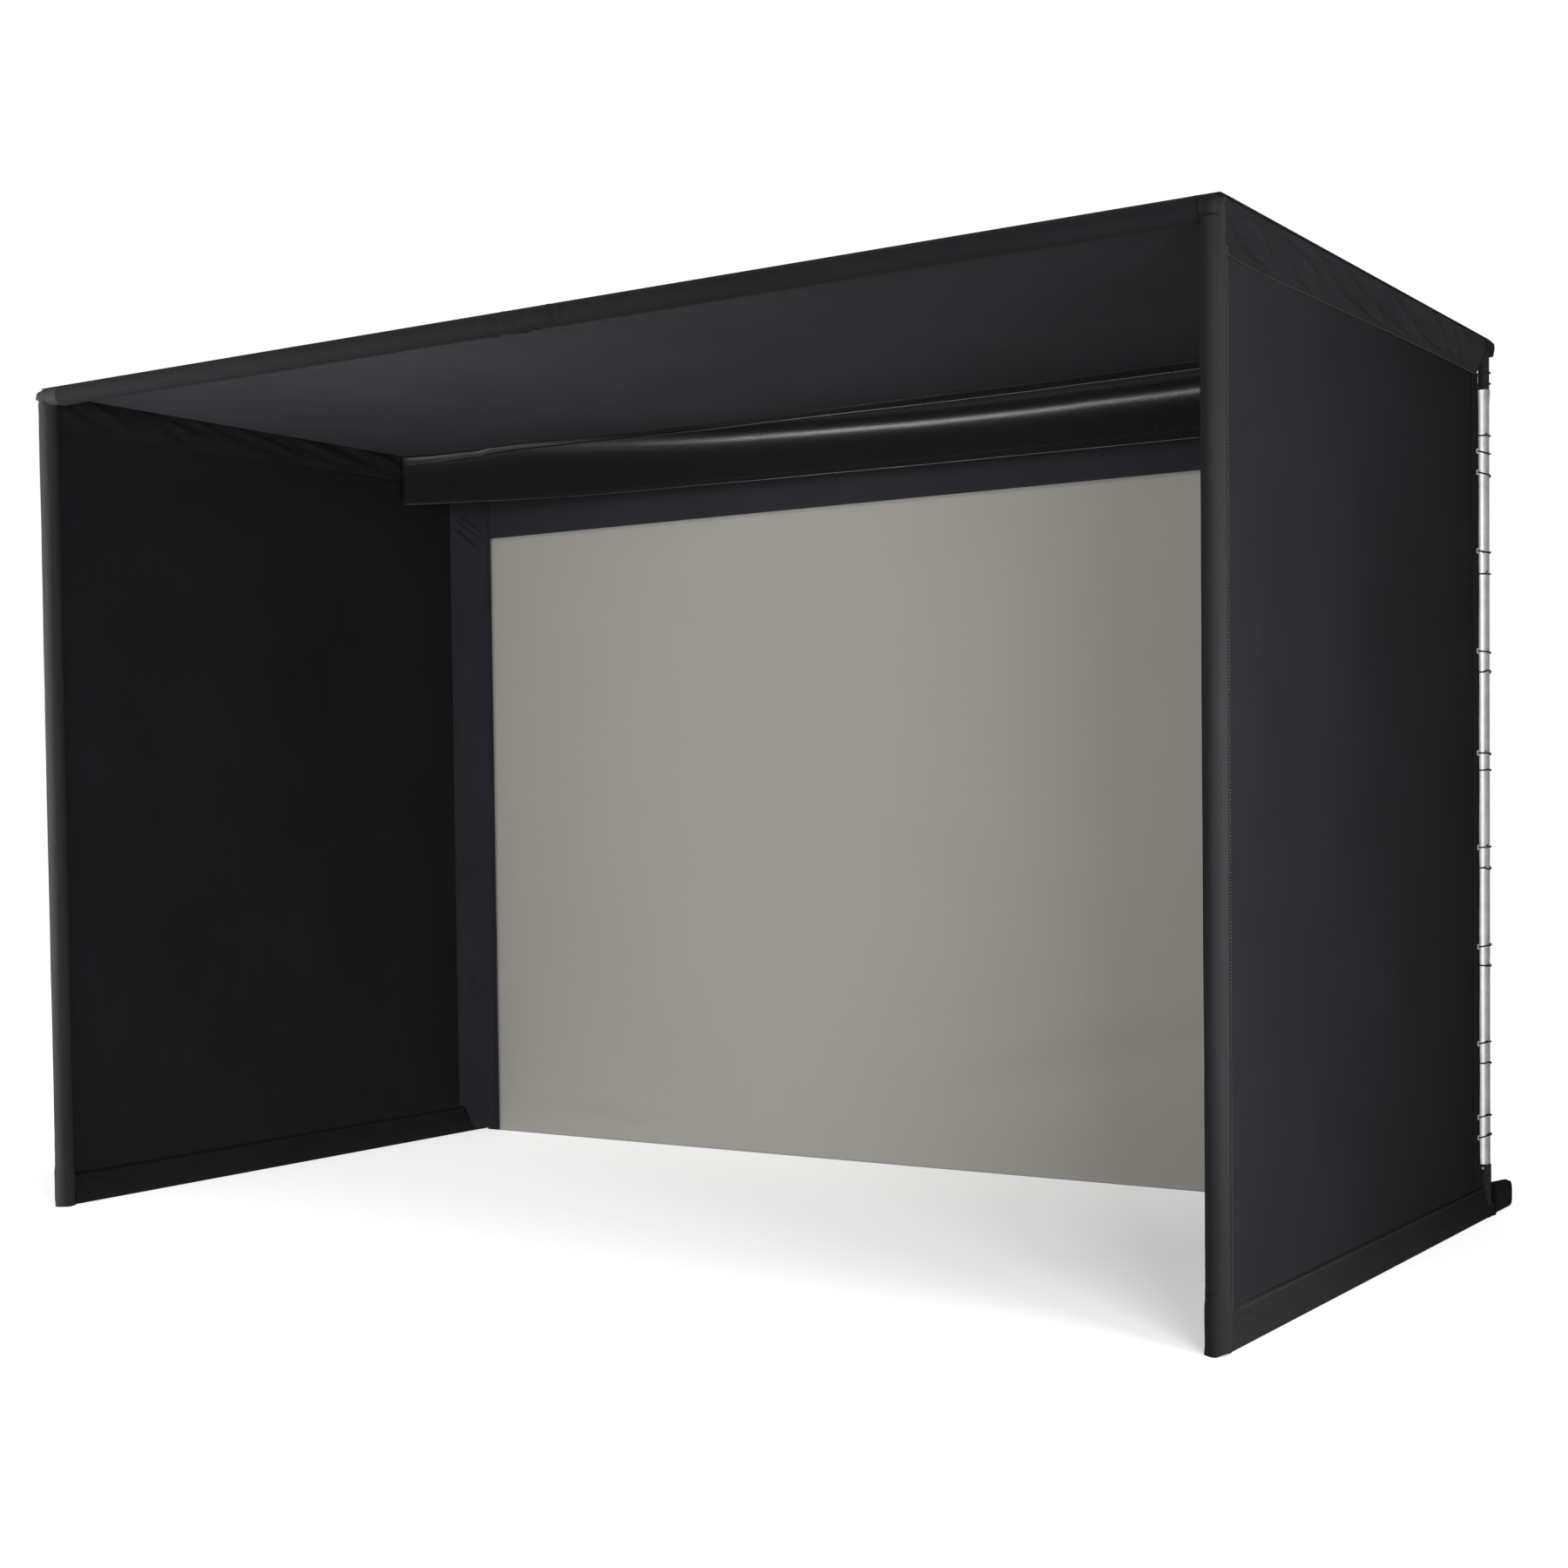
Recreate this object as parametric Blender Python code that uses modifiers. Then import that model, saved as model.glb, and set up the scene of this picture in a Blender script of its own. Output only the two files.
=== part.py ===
"""Free-standing impact-screen enclosure: a pipe frame with a fabric shell and a projection screen.

Metres, +Z up. The open front faces -Y and the screen closes the back. The origin is on the floor,
in the middle of the footprint. "left" is -X and "right" is +X.
"""
import math

import bmesh
import bpy
from mathutils import Matrix, Vector

# Driving dimensions
HEIGHT = 2.440            # floor to the top of the roof
SPAN = 3.691              # between the axes of the left and right uprights
DEPTH = 1.903             # between the axes of the front and rear uprights
FOOT_REACH = 0.240        # how far each rear foot's sleeve runs behind the rear upright
FOOT_INSET = 0.008        # foot pipe, inside its sleeve's open end
PIPE_RADIUS = 0.01475     # steel conduit, 29.5 mm outside
PIPE_WALL = 0.00145
BELL_RADIUS = 0.0168      # widened pipe end that slips over a spigot
BELL_LENGTH = 0.012
BELL_TAPER = 0.028
SPIGOT_RADIUS = 0.0129    # arms of the top corner fittings, inside the pipes
SPIGOT_SHOWN = 0.107      # corner centre to pipe end
SPIGOT_REACH = 0.165
SOCKET_RADIUS = 0.0172    # arms of the bottom corner fittings, around the pipes
SOCKET_BORE = 0.0152
SOCKET_REACH = 0.128
SOCKET_STOP = 0.030       # corner centre to the bottom of the bore
HUB_SWELL = 1.05          # the ball at a fitting's centre, against its arms
HUB_TURN = 0.35           # radians; keeps the ball's edges off the arms'
WELD = 0.00005            # vertices closer than this become one after a union
COUPLER_LENGTH = 0.100
FOAM_RADIUS = 0.0240
FOAM_BORE = 0.0182
SLEEVE_RADIUS = 0.0262    # fabric over the foam
FABRIC = 0.0012           # thickness of one layer
SEAM_GAP = 0.0005         # clearance between neighbouring fabric pieces
BOOT_RADIUS = 0.0300
BOOT_HEIGHT = 0.130
CAP_OFFSET = 0.0285       # outer faces of the corner caps from the pipe axes
CAP_REACH = 0.055
CAP_HEIGHT = 0.128
POCKET_IN = 0.0195        # side pockets: inner face from the pipe axis
POCKET_OUT = 0.0205
BAND_HEIGHT = 0.104       # pocket around the top side pipe
HEM_HEIGHT = 0.0877       # pocket around the bottom side pipe
WALL_OFFSET = 0.0040      # side wall plane, outward from the pipe axes
WALL_THICKNESS = 0.0016
WALL_FRONT_GAP = 0.0305   # side wall edges to the front and rear pipe axes
WALL_REAR_GAP = 0.062
ROOF_THICKNESS = 0.0015
ROOF_LIP = 0.010          # in front of the front pipe axis
ROOF_OVERHANG = 0.080     # behind the rear pipe axis
BAFFLE_SEAM = 1.600       # ceiling seam, behind the front pipe axis
BAFFLE_RUN = 0.120        # how far the baffle droops backwards
BAFFLE_DROP = 0.200
BAFFLE_LEVEL = 0.35       # share of the drop that is even; the rest steepens towards the free edge
BAFFLE_THICKNESS = 0.0016
SCREEN_OFFSET = 0.0295    # screen plane, in front of the rear pipe axis
SCREEN_THICKNESS = 0.003
SCREEN_HALF_WIDTH = 1.795
SCREEN_TOP = 2.160
BORDER_TOP = 2.345
BORDER_WIDTH = 0.050
SCREEN_CLEARANCE = 0.003  # screen to floor
FLAP_THICKNESS = 0.0015
FLAP_SETBACK = 0.128      # sewn edge of a side flap, in front of the rear pipe axis
FLAP_IN = 0.085           # free edge of a side flap, inboard of the pipe axis
FLAP_BOTTOM = 0.012
FLAP_TOP = 2.300
FLAP_NOTCH = ((0.0, 0.095), (0.048, 0.045))  # clears the hem: (from the sewn edge, height)
CORD_RADIUS = 0.0022
GROMMET_RADIUS = 0.0055
TURN_RADIUS = 0.0065      # cord's turn round the edge of the cloth
SCREW_RADIUS = 0.0030
SCREW_INSIDE = 0.0020     # how far it reaches in and out from the socket's surface
SCREW_OUTSIDE = 0.0045
SCREW_HEIGHT = 0.118      # above the bottom corner's centre
WALL_BUNGEE_HEIGHT = 1.037
SCREEN_BUNGEE_HEIGHT = 0.979
TOP_BUNGEE_OFFSET = 0.900

ROUND = 16                # sides of hidden tubes
ROUND_SHOWN = 24          # sides of bare tubes

# Places worked out from the dimensions
SIDES = {"left": -1, "right": 1}
AXIS_X = SPAN / 2
FRONT = -(DEPTH + FOOT_REACH - BOOT_RADIUS) / 2
REAR = FRONT + DEPTH
TOP = HEIGHT - ROOF_THICKNESS - SEAM_GAP - SLEEVE_RADIUS
BOTTOM = SOCKET_RADIUS * HUB_SWELL + FABRIC + 0.0005
ROOF_UNDERSIDE = HEIGHT - ROOF_THICKNESS
POCKET_TOP = ROOF_UNDERSIDE - 0.001
SCREEN_Y = REAR - SCREEN_OFFSET

X_AXIS = Vector((1, 0, 0))
Y_AXIS = Vector((0, 1, 0))
Z_AXIS = Vector((0, 0, 1))

COLOURS = {  # base colour, roughness, metallic
    "galvanised_steel": ((0.62, 0.64, 0.66), 0.34, 1.0),
    "black_casting": ((0.018, 0.018, 0.020), 0.42, 0.0),
    "black_foam": ((0.020, 0.020, 0.022), 0.90, 0.0),
    "shell_fabric": ((0.024, 0.024, 0.027), 0.72, 0.0),
    "baffle_fabric": ((0.012, 0.012, 0.013), 0.38, 0.0),
    "screen_fabric": ((0.300, 0.282, 0.258), 0.85, 0.0),
    "border_fabric": ((0.022, 0.022, 0.026), 0.70, 0.0),
    "elastic_cord": ((0.012, 0.012, 0.012), 0.60, 0.0),
    "bright_screw": ((0.70, 0.70, 0.70), 0.25, 1.0),
}


def clear_scene():
    for obj in list(bpy.data.objects):
        bpy.data.objects.remove(obj, do_unlink=True)


def new_collection(name, hidden=False):
    group = bpy.data.collections.new(name)
    bpy.context.scene.collection.children.link(group)
    group.hide_render = hidden
    return group


def new_material(name):
    colour, roughness, metallic = COLOURS[name]
    material = bpy.data.materials.new(name)
    material.use_nodes = True
    shader = material.node_tree.nodes["Principled BSDF"]
    shader.inputs["Base Color"].default_value = (*colour, 1.0)
    shader.inputs["Roughness"].default_value = roughness
    shader.inputs["Metallic"].default_value = metallic
    material.diffuse_color = (*colour, 1.0)
    return material


def add_part(name, data, material_name):
    """One sub-part, with a material of its own."""
    obj = bpy.data.objects.new(name, data)
    PARTS.objects.link(obj)
    material = new_material(material_name)
    material.name = name + "_material"
    data.materials.append(material)
    return obj


def add_cutter(name, data):
    obj = bpy.data.objects.new(name, data)
    CUTTERS.objects.link(obj)
    obj.hide_render = True
    obj.display_type = "WIRE"
    return obj


def box_mesh(name, low, high):
    low, high = Vector(low), Vector(high)
    size = high - low
    shape = bmesh.new()
    bmesh.ops.create_cube(shape, size=1.0)
    bmesh.ops.scale(shape, vec=size, verts=shape.verts)
    bmesh.ops.translate(shape, vec=(low + high) / 2, verts=shape.verts)
    return finished_mesh(name, shape)


def rod_mesh(name, radius, start, end, sides=ROUND):
    """A solid round bar between two points."""
    start, end = Vector(start), Vector(end)
    direction = end - start
    turn = direction.to_track_quat("Z", "Y").to_matrix().to_4x4()
    shape = bmesh.new()
    bmesh.ops.create_cone(
        shape, cap_ends=True, segments=sides, radius1=radius, radius2=radius, depth=direction.length,
        matrix=Matrix.Translation((start + end) / 2) @ turn)
    return finished_mesh(name, shape)


def finished_mesh(name, shape):
    mesh = bpy.data.meshes.new(name)
    shape.to_mesh(mesh)
    shape.free()
    return mesh


def round_off(mesh):
    mesh.shade_smooth()
    mesh.set_sharp_from_angle(angle=math.radians(35))


def cut(obj, cutter, operation="DIFFERENCE"):
    modifier = obj.modifiers.new(cutter.name, "BOOLEAN")
    modifier.operation = operation
    modifier.solver = "EXACT"
    modifier.object = cutter


def cut_box(obj, low, high):
    name = obj.name + "_notch"
    cut(obj, add_cutter(name, box_mesh(name, low, high)))


def cut_hole(obj, centre, axis, radius=GROMMET_RADIUS, reach=0.010):
    name = obj.name + "_hole"
    centre = Vector(centre)
    cut(obj, add_cutter(name, rod_mesh(name, radius, centre - axis * reach, centre + axis * reach, 12)))


def evaluated_mesh(obj):
    graph = bpy.context.evaluated_depsgraph_get()
    return bpy.data.meshes.new_from_object(obj.evaluated_get(graph))


def aim(obj, start, direction):
    """Stands the object's Z axis along a direction, from a starting point."""
    obj.location = start
    obj.rotation_euler = Vector(direction).to_track_quat("Z", "Y").to_euler()


def turned(name, profile, material_name, sides=ROUND):
    """A closed (radius, height) profile turned about Z; it runs down its outer side."""
    mesh = bpy.data.meshes.new(name)
    points = [(radius, 0.0, height) for radius, height in profile]
    edges = [(index, (index + 1) % len(points)) for index in range(len(points))]
    mesh.from_pydata(points, edges, [])
    obj = add_part(name, mesh, material_name)
    turn = obj.modifiers.new("Turn", "SCREW")
    turn.steps = turn.render_steps = sides
    turn.use_merge_vertices = True
    turn.merge_threshold = 0.00001
    turn.use_smooth_shade = True
    return obj


def tube(name, start, end, outer, inner, material_name, sides=ROUND):
    """A plain hollow tube between two points."""
    start, end = Vector(start), Vector(end)
    length = (end - start).length
    profile = [(outer, length), (outer, 0.0), (inner, 0.0), (inner, length)]
    obj = turned(name, profile, material_name, sides)
    aim(obj, start, end - start)
    return obj


def pipe(name, start, end, start_bell=False, end_bell=False, sides=ROUND):
    """Steel pipe, with a widened bell at either end where asked."""
    start, end = Vector(start), Vector(end)
    length = (end - start).length
    taper = BELL_LENGTH + BELL_TAPER

    def side(inset):
        plain, bell = PIPE_RADIUS - inset, BELL_RADIUS - inset
        upper = [(bell, length), (bell, length - BELL_LENGTH), (plain, length - taper)]
        lower = [(plain, taper), (bell, BELL_LENGTH), (bell, 0.0)]
        return (upper if end_bell else [(plain, length)]) + (lower if start_bell else [(plain, 0.0)])

    profile = side(0.0) + side(PIPE_WALL)[::-1]
    obj = turned(name, profile, "galvanised_steel", sides)
    aim(obj, start, end - start)
    return obj


def fitting_mesh(name, arms, radius, reach, bore=0.0):
    """Corner fitting at the origin: round arms from a ball, bored as sockets where asked."""
    shape = bmesh.new()
    bmesh.ops.create_uvsphere(shape, u_segments=ROUND, v_segments=ROUND // 2, radius=radius * HUB_SWELL,
                              matrix=Matrix.Rotation(HUB_TURN, 4, (1, 1, 1)))
    core = add_cutter(name, finished_mesh(name, shape))
    tools = [core]
    for number, arm in enumerate(arms):
        tool = add_cutter(f"{name}_arm_{number}", rod_mesh(f"{name}_arm", radius, (0, 0, 0), arm * reach))
        cut(core, tool, "UNION")
        tools.append(tool)
    for number, arm in enumerate(arms if bore else []):
        hole = rod_mesh(f"{name}_bore", bore, arm * SOCKET_STOP, arm * (reach + 0.01))
        tool = add_cutter(f"{name}_bore_{number}", hole)
        cut(core, tool)
        tools.append(tool)
    mesh = evaluated_mesh(core)
    shape = bmesh.new()
    shape.from_mesh(mesh)
    bmesh.ops.remove_doubles(shape, verts=shape.verts, dist=WELD)
    bmesh.ops.dissolve_degenerate(shape, edges=shape.edges, dist=WELD)
    mesh = finished_mesh(name, shape)
    round_off(mesh)
    for tool in tools:
        bpy.data.objects.remove(tool, do_unlink=True)
    return mesh


def sleeve(name, outline, run_axis, start, end, closed=True):
    """Fabric in the shape of an outline drawn along X or Y, thickened inwards.

    The outline's points are across the run and up: (x, z) for a run along Y, (y, z) along X.
    """
    def place(across, up, along):
        return (across, along, up) if run_axis == "Y" else (along, across, up)

    shape = bmesh.new()
    ring = [shape.verts.new(place(across, up, start)) for across, up in outline]
    first = 0 if closed else 1
    edges = [shape.edges.new((ring[index - 1], ring[index])) for index in range(first, len(ring))]
    grown = bmesh.ops.extrude_edge_only(shape, edges=edges)["geom"]
    travel = Vector(place(0.0, 0.0, end - start))
    far_ring = [item for item in grown if isinstance(item, bmesh.types.BMVert)]
    bmesh.ops.translate(shape, vec=travel, verts=far_ring)
    bmesh.ops.recalc_face_normals(shape, faces=shape.faces)
    obj = add_part(name, finished_mesh(name, shape), "shell_fabric")
    shell = obj.modifiers.new("Cloth", "SOLIDIFY")
    shell.thickness = FABRIC
    shell.offset = -1.0
    shell.use_even_offset = True
    return obj


def panel(name, outline, height, material_name):
    """A flat outline in the object's XY plane, raised along its Z axis by the height."""
    curve = bpy.data.curves.new(name, "CURVE")
    curve.dimensions = "2D"
    curve.fill_mode = "BOTH"
    curve.extrude = height / 2
    line = curve.splines.new("POLY")
    line.points.add(len(outline) - 1)
    for point, (across, along) in zip(line.points, outline):
        point.co = (across, along, 0.0, 1.0)
    line.use_cyclic_u = True
    return add_part(name, curve, material_name)


def mirrored(points, side):
    """Outline points for one side of the object, from those of its right side."""
    return [(side * (AXIS_X + across), up) for across, up in points][::side]


def build_pipes():
    for word, side in SIDES.items():
        x = side * AXIS_X
        inner_socket = side * (AXIS_X - SOCKET_STOP - SEAM_GAP)
        inner_spigot = side * (AXIS_X - SPIGOT_SHOWN)
        low, high = BOTTOM + SOCKET_STOP + SEAM_GAP, TOP - SPIGOT_SHOWN
        pipe(f"front_upright_pipe_{word}", (x, FRONT, low), (x, FRONT, high), end_bell=True)
        pipe(f"rear_upright_pipe_{word}", (x, REAR, low), (x, REAR, high), end_bell=True, sides=ROUND_SHOWN)
        pipe(f"side_top_pipe_{word}", (x, FRONT + SPIGOT_SHOWN, TOP), (x, REAR - SPIGOT_SHOWN, TOP),
             start_bell=True, end_bell=True)
        middle = side * SEAM_GAP
        pipe(f"front_top_pipe_{word}", (middle, FRONT, TOP), (inner_spigot, FRONT, TOP), end_bell=True)
        pipe(f"rear_top_pipe_{word}", (middle, REAR, TOP), (inner_spigot, REAR, TOP), end_bell=True)
        stop = SOCKET_STOP + SEAM_GAP
        pipe(f"side_bottom_pipe_{word}", (x, FRONT + stop, BOTTOM), (x, REAR - stop, BOTTOM))
        pipe(f"rear_bottom_pipe_{word}", (middle, REAR, BOTTOM), (inner_socket, REAR, BOTTOM),
             sides=ROUND_SHOWN)
        pipe(f"rear_foot_pipe_{word}", (x, REAR + stop, BOTTOM), (x, REAR + FOOT_REACH - FOOT_INSET, BOTTOM))


def build_couplers():
    """Outer sleeves that join the two halves of each long cross pipe."""
    half = COUPLER_LENGTH / 2
    for name, y, z in (("front_top_coupler", FRONT, TOP), ("rear_top_coupler", REAR, TOP),
                       ("rear_bottom_coupler", REAR, BOTTOM)):
        tube(name, (-half, y, z), (half, y, z), SOCKET_RADIUS, SOCKET_BORE, "black_casting")


def build_fittings():
    top = fitting_mesh("top_fitting", (X_AXIS, Y_AXIS, Z_AXIS), SPIGOT_RADIUS, SPIGOT_REACH)
    front = fitting_mesh("front_bottom_fitting", (Y_AXIS, Z_AXIS), SOCKET_RADIUS, SOCKET_REACH, SOCKET_BORE)
    rear = fitting_mesh("rear_bottom_fitting", (X_AXIS, Y_AXIS, -Y_AXIS, Z_AXIS),
                        SOCKET_RADIUS, SOCKET_REACH, SOCKET_BORE)
    quarter = math.pi / 2
    half = math.pi
    turns = {  # rotation that points the three arms inwards, along the frame and down
        ("front", "left"): (0, quarter, 0), ("front", "right"): (0, half, 0),
        ("rear", "left"): (half, 0, 0), ("rear", "right"): (half, 0, -quarter),
    }
    for word, side in SIDES.items():
        for end, y in (("front", FRONT), ("rear", REAR)):
            obj = add_part(f"top_{end}_fitting_{word}", top.copy(), "black_casting")
            obj.location = (side * AXIS_X, y, TOP)
            obj.rotation_euler = turns[end, word]
        obj = add_part(f"bottom_front_fitting_{word}", front.copy(), "black_casting")
        obj.location = (side * AXIS_X, FRONT, BOTTOM)
        obj = add_part(f"bottom_rear_fitting_{word}", rear.copy(), "black_casting")
        obj.location = (side * AXIS_X, REAR, BOTTOM)
        obj.rotation_euler = (0, 0, half if side > 0 else 0)
        seat = Vector((side * AXIS_X, REAR - SOCKET_RADIUS, BOTTOM + SCREW_HEIGHT))
        cut_hole(obj, seat, Y_AXIS, SCREW_RADIUS + 0.0003, 0.006)
        weld = obj.modifiers.new("Weld", "WELD")
        weld.merge_threshold = WELD
        inner_end, outer_end = seat + Y_AXIS * SCREW_INSIDE, seat - Y_AXIS * SCREW_OUTSIDE
        screw = rod_mesh(f"set_screw_{word}", SCREW_RADIUS, inner_end, outer_end, 12)
        round_off(screw)
        add_part(f"set_screw_{word}", screw, "bright_screw")


def build_padding():
    """Foam on the front pipes, its fabric sleeves, the boots and the corner caps."""
    foam_end, sleeve_end = AXIS_X - 0.045, AXIS_X - SLEEVE_RADIUS - SEAM_GAP
    tube("front_top_foam", (-foam_end, FRONT, TOP), (foam_end, FRONT, TOP),
         FOAM_RADIUS, FOAM_BORE, "black_foam")
    tube("front_top_sleeve", (-sleeve_end, FRONT, TOP), (sleeve_end, FRONT, TOP),
         SLEEVE_RADIUS, SLEEVE_RADIUS - FABRIC, "shell_fabric", ROUND_SHOWN)
    sleeve_top = TOP - SLEEVE_RADIUS - SEAM_GAP
    foam_bottom = BOTTOM + SOCKET_REACH + 0.003
    for word, side in SIDES.items():
        x = side * AXIS_X
        tube(f"front_upright_foam_{word}", (x, FRONT, foam_bottom), (x, FRONT, sleeve_top),
             FOAM_RADIUS, FOAM_BORE, "black_foam")
        tube(f"front_upright_sleeve_{word}", (x, FRONT, BOOT_HEIGHT + SEAM_GAP), (x, FRONT, sleeve_top),
             SLEEVE_RADIUS, SLEEVE_RADIUS - FABRIC, "shell_fabric", ROUND_SHOWN)
        boot = tube(f"front_boot_{word}", (x, FRONT, 0), (x, FRONT, BOOT_HEIGHT),
                    BOOT_RADIUS, BOOT_RADIUS - FABRIC, "shell_fabric", ROUND_SHOWN)
        slot = SOCKET_RADIUS + 0.001
        cut_box(boot, (x - slot, FRONT, -0.01), (x + slot, FRONT + 0.05, BOTTOM + slot))
        near, far, thick = CAP_OFFSET, CAP_REACH, FABRIC
        corner = [(near, -near), (near, near), (near - thick, near), (near - thick, thick - near),
                  (-far, thick - near), (-far, -near)]
        outline = [(side * (AXIS_X + across), FRONT + along) for across, along in corner][::side]
        cap = panel(f"corner_cap_{word}", outline, CAP_HEIGHT, "shell_fabric")
        cap.location.z = POCKET_TOP - CAP_HEIGHT / 2


def build_roof():
    half_width = AXIS_X + POCKET_OUT
    add_part("roof_panel", box_mesh("roof_panel", (-half_width, FRONT - ROOF_LIP, ROOF_UNDERSIDE),
                                    (half_width, REAR + ROOF_OVERHANG, HEIGHT)), "shell_fabric")
    low = TOP - BELL_RADIUS - 0.006
    outline = [(REAR + along, up) for along, up in (
        (PIPE_RADIUS + 3 * CORD_RADIUS, low), (0.060, low + 0.0095), (0.088, low + 0.026),
        (0.092, POCKET_TOP - 0.0075), (0.085, POCKET_TOP), (-POCKET_IN, POCKET_TOP))]
    end = AXIS_X + 0.019
    sleeve("roof_rear_flap", outline, "X", -end, end, closed=False)


def build_sides():
    """Top bands, walls and bottom hems. The bands and hems are pockets round the side pipes."""
    tip_out, tip_in = WALL_OFFSET + 0.002, WALL_OFFSET - 0.002
    band_low = POCKET_TOP - BAND_HEIGHT
    band = [(POCKET_OUT, POCKET_TOP), (-POCKET_IN, POCKET_TOP), (-POCKET_IN, TOP - 0.017),
            (tip_in, band_low), (tip_out, band_low), (POCKET_OUT, TOP - 0.012)]
    hem = [(POCKET_OUT, 0.0), (POCKET_OUT, 0.034), (tip_out, HEM_HEIGHT), (tip_in, HEM_HEIGHT),
           (-POCKET_IN, 0.034), (-POCKET_IN, 0.0)]
    wall_low, wall_high = HEM_HEIGHT + SEAM_GAP, band_low - SEAM_GAP
    for word, side in SIDES.items():
        sleeve(f"top_band_{word}", mirrored(band, side), "Y",
               FRONT + CAP_OFFSET + 0.002, REAR - POCKET_IN - 0.0015)
        bottom = sleeve(f"bottom_hem_{word}", mirrored(hem, side), "Y",
                        FRONT + BOOT_RADIUS + 0.001, REAR + FOOT_REACH)
        x = side * AXIS_X
        cut_box(bottom, (x - 0.05, REAR - 0.030, FABRIC + 0.0003), (x + 0.05, REAR + 0.045, 0.12))
        inner = side * (AXIS_X + WALL_OFFSET - WALL_THICKNESS / 2)
        outer = side * (AXIS_X + WALL_OFFSET + WALL_THICKNESS / 2)
        wall = add_part(f"side_wall_{word}", box_mesh(
            f"side_wall_{word}", (min(inner, outer), FRONT + WALL_FRONT_GAP, wall_low),
            (max(inner, outer), REAR - WALL_REAR_GAP, wall_high)), "shell_fabric")
        turn = Vector((side * (AXIS_X + WALL_OFFSET), REAR - WALL_REAR_GAP - 0.0105, WALL_BUNGEE_HEIGHT))
        bungee(f"wall_bungee_{word}", (side * AXIS_X, REAR), (turn.x, turn.y), "XY", WALL_BUNGEE_HEIGHT)
        cut_hole(wall, turn - Y_AXIS * TURN_RADIUS, X_AXIS)


def build_baffle():
    """Curved ceiling flap; its origin is on the ceiling seam that it swings about."""
    seam = Vector((0.0, FRONT + BAFFLE_SEAM, ROOF_UNDERSIDE - 0.001))
    half_width = AXIS_X - 0.024
    steps = 10
    shape = bmesh.new()
    rows = []
    for step in range(steps + 1):
        angle = math.pi / 2 * step / steps
        back = BAFFLE_RUN * math.sin(angle)
        curved = 1 - math.cos(angle)
        down = BAFFLE_DROP * (BAFFLE_LEVEL * step / steps + (1 - BAFFLE_LEVEL) * curved)
        rows.append([shape.verts.new((x, back, -down)) for x in (-half_width, half_width)])
    for upper, lower in zip(rows, rows[1:]):
        shape.faces.new((upper[0], lower[0], lower[1], upper[1]))
    baffle = add_part("ceiling_baffle", finished_mesh("ceiling_baffle", shape), "baffle_fabric")
    baffle.location = seam
    shell = baffle.modifiers.new("Cloth", "SOLIDIFY")
    shell.thickness = BAFFLE_THICKNESS
    shell.offset = 0.0


def build_screen():
    low_y, high_y = SCREEN_Y - SCREEN_THICKNESS / 2, SCREEN_Y + SCREEN_THICKNESS / 2
    edge = SCREEN_HALF_WIDTH - BORDER_WIDTH
    gap = 0.0003
    add_part("impact_screen", box_mesh("impact_screen", (gap - edge, low_y, SCREEN_CLEARANCE),
                                       (edge - gap, high_y, SCREEN_TOP)), "screen_fabric")
    top = add_part("screen_top_border", box_mesh(
        "screen_top_border", (-SCREEN_HALF_WIDTH, low_y, SCREEN_TOP + gap),
        (SCREEN_HALF_WIDTH, high_y, BORDER_TOP)), "border_fabric")
    for word, side in SIDES.items():
        turn = Vector((side * TOP_BUNGEE_OFFSET, SCREEN_Y, BORDER_TOP - 0.005))
        bungee(f"screen_top_bungee_{word}", (REAR, TOP), (turn.y, turn.z), "YZ", turn.x)
        cut_hole(top, turn - Z_AXIS * TURN_RADIUS, Y_AXIS)
        inner, outer = side * edge, side * SCREEN_HALF_WIDTH
        strip = add_part(f"screen_side_border_{word}", box_mesh(
            f"screen_side_border_{word}", (min(inner, outer), low_y, SCREEN_CLEARANCE),
            (max(inner, outer), high_y, SCREEN_TOP)), "border_fabric")
        turn = Vector((side * (SCREEN_HALF_WIDTH - 0.010), SCREEN_Y, SCREEN_BUNGEE_HEIGHT))
        bungee(f"screen_side_bungee_{word}", (side * AXIS_X, REAR), (turn.x, turn.y), "XY", turn.z)
        cut_hole(strip, turn - X_AXIS * side * TURN_RADIUS, Y_AXIS)


def build_side_flaps():
    """Strips that close the corner between wall and screen; the origin is on the sewn edge."""
    for word, side in SIDES.items():
        sewn = Vector((side * (AXIS_X + WALL_OFFSET - 0.002), REAR - FLAP_SETBACK))
        free = Vector((side * (AXIS_X - FLAP_IN), SCREEN_Y - SCREEN_THICKNESS / 2 - 0.0020))
        width = (free - sewn).length
        outline = [*FLAP_NOTCH, (FLAP_NOTCH[-1][0], FLAP_BOTTOM), (width, FLAP_BOTTOM),
                   (width, FLAP_TOP), (0.0, FLAP_TOP)]
        flap = panel(f"side_flap_{word}", outline, FLAP_THICKNESS, "shell_fabric")
        direction = (free - sewn).normalized()
        flap.location = (sewn.x, sewn.y, 0.0)
        flap.rotation_euler = (math.pi / 2, 0.0, math.atan2(direction.y, direction.x))


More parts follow.
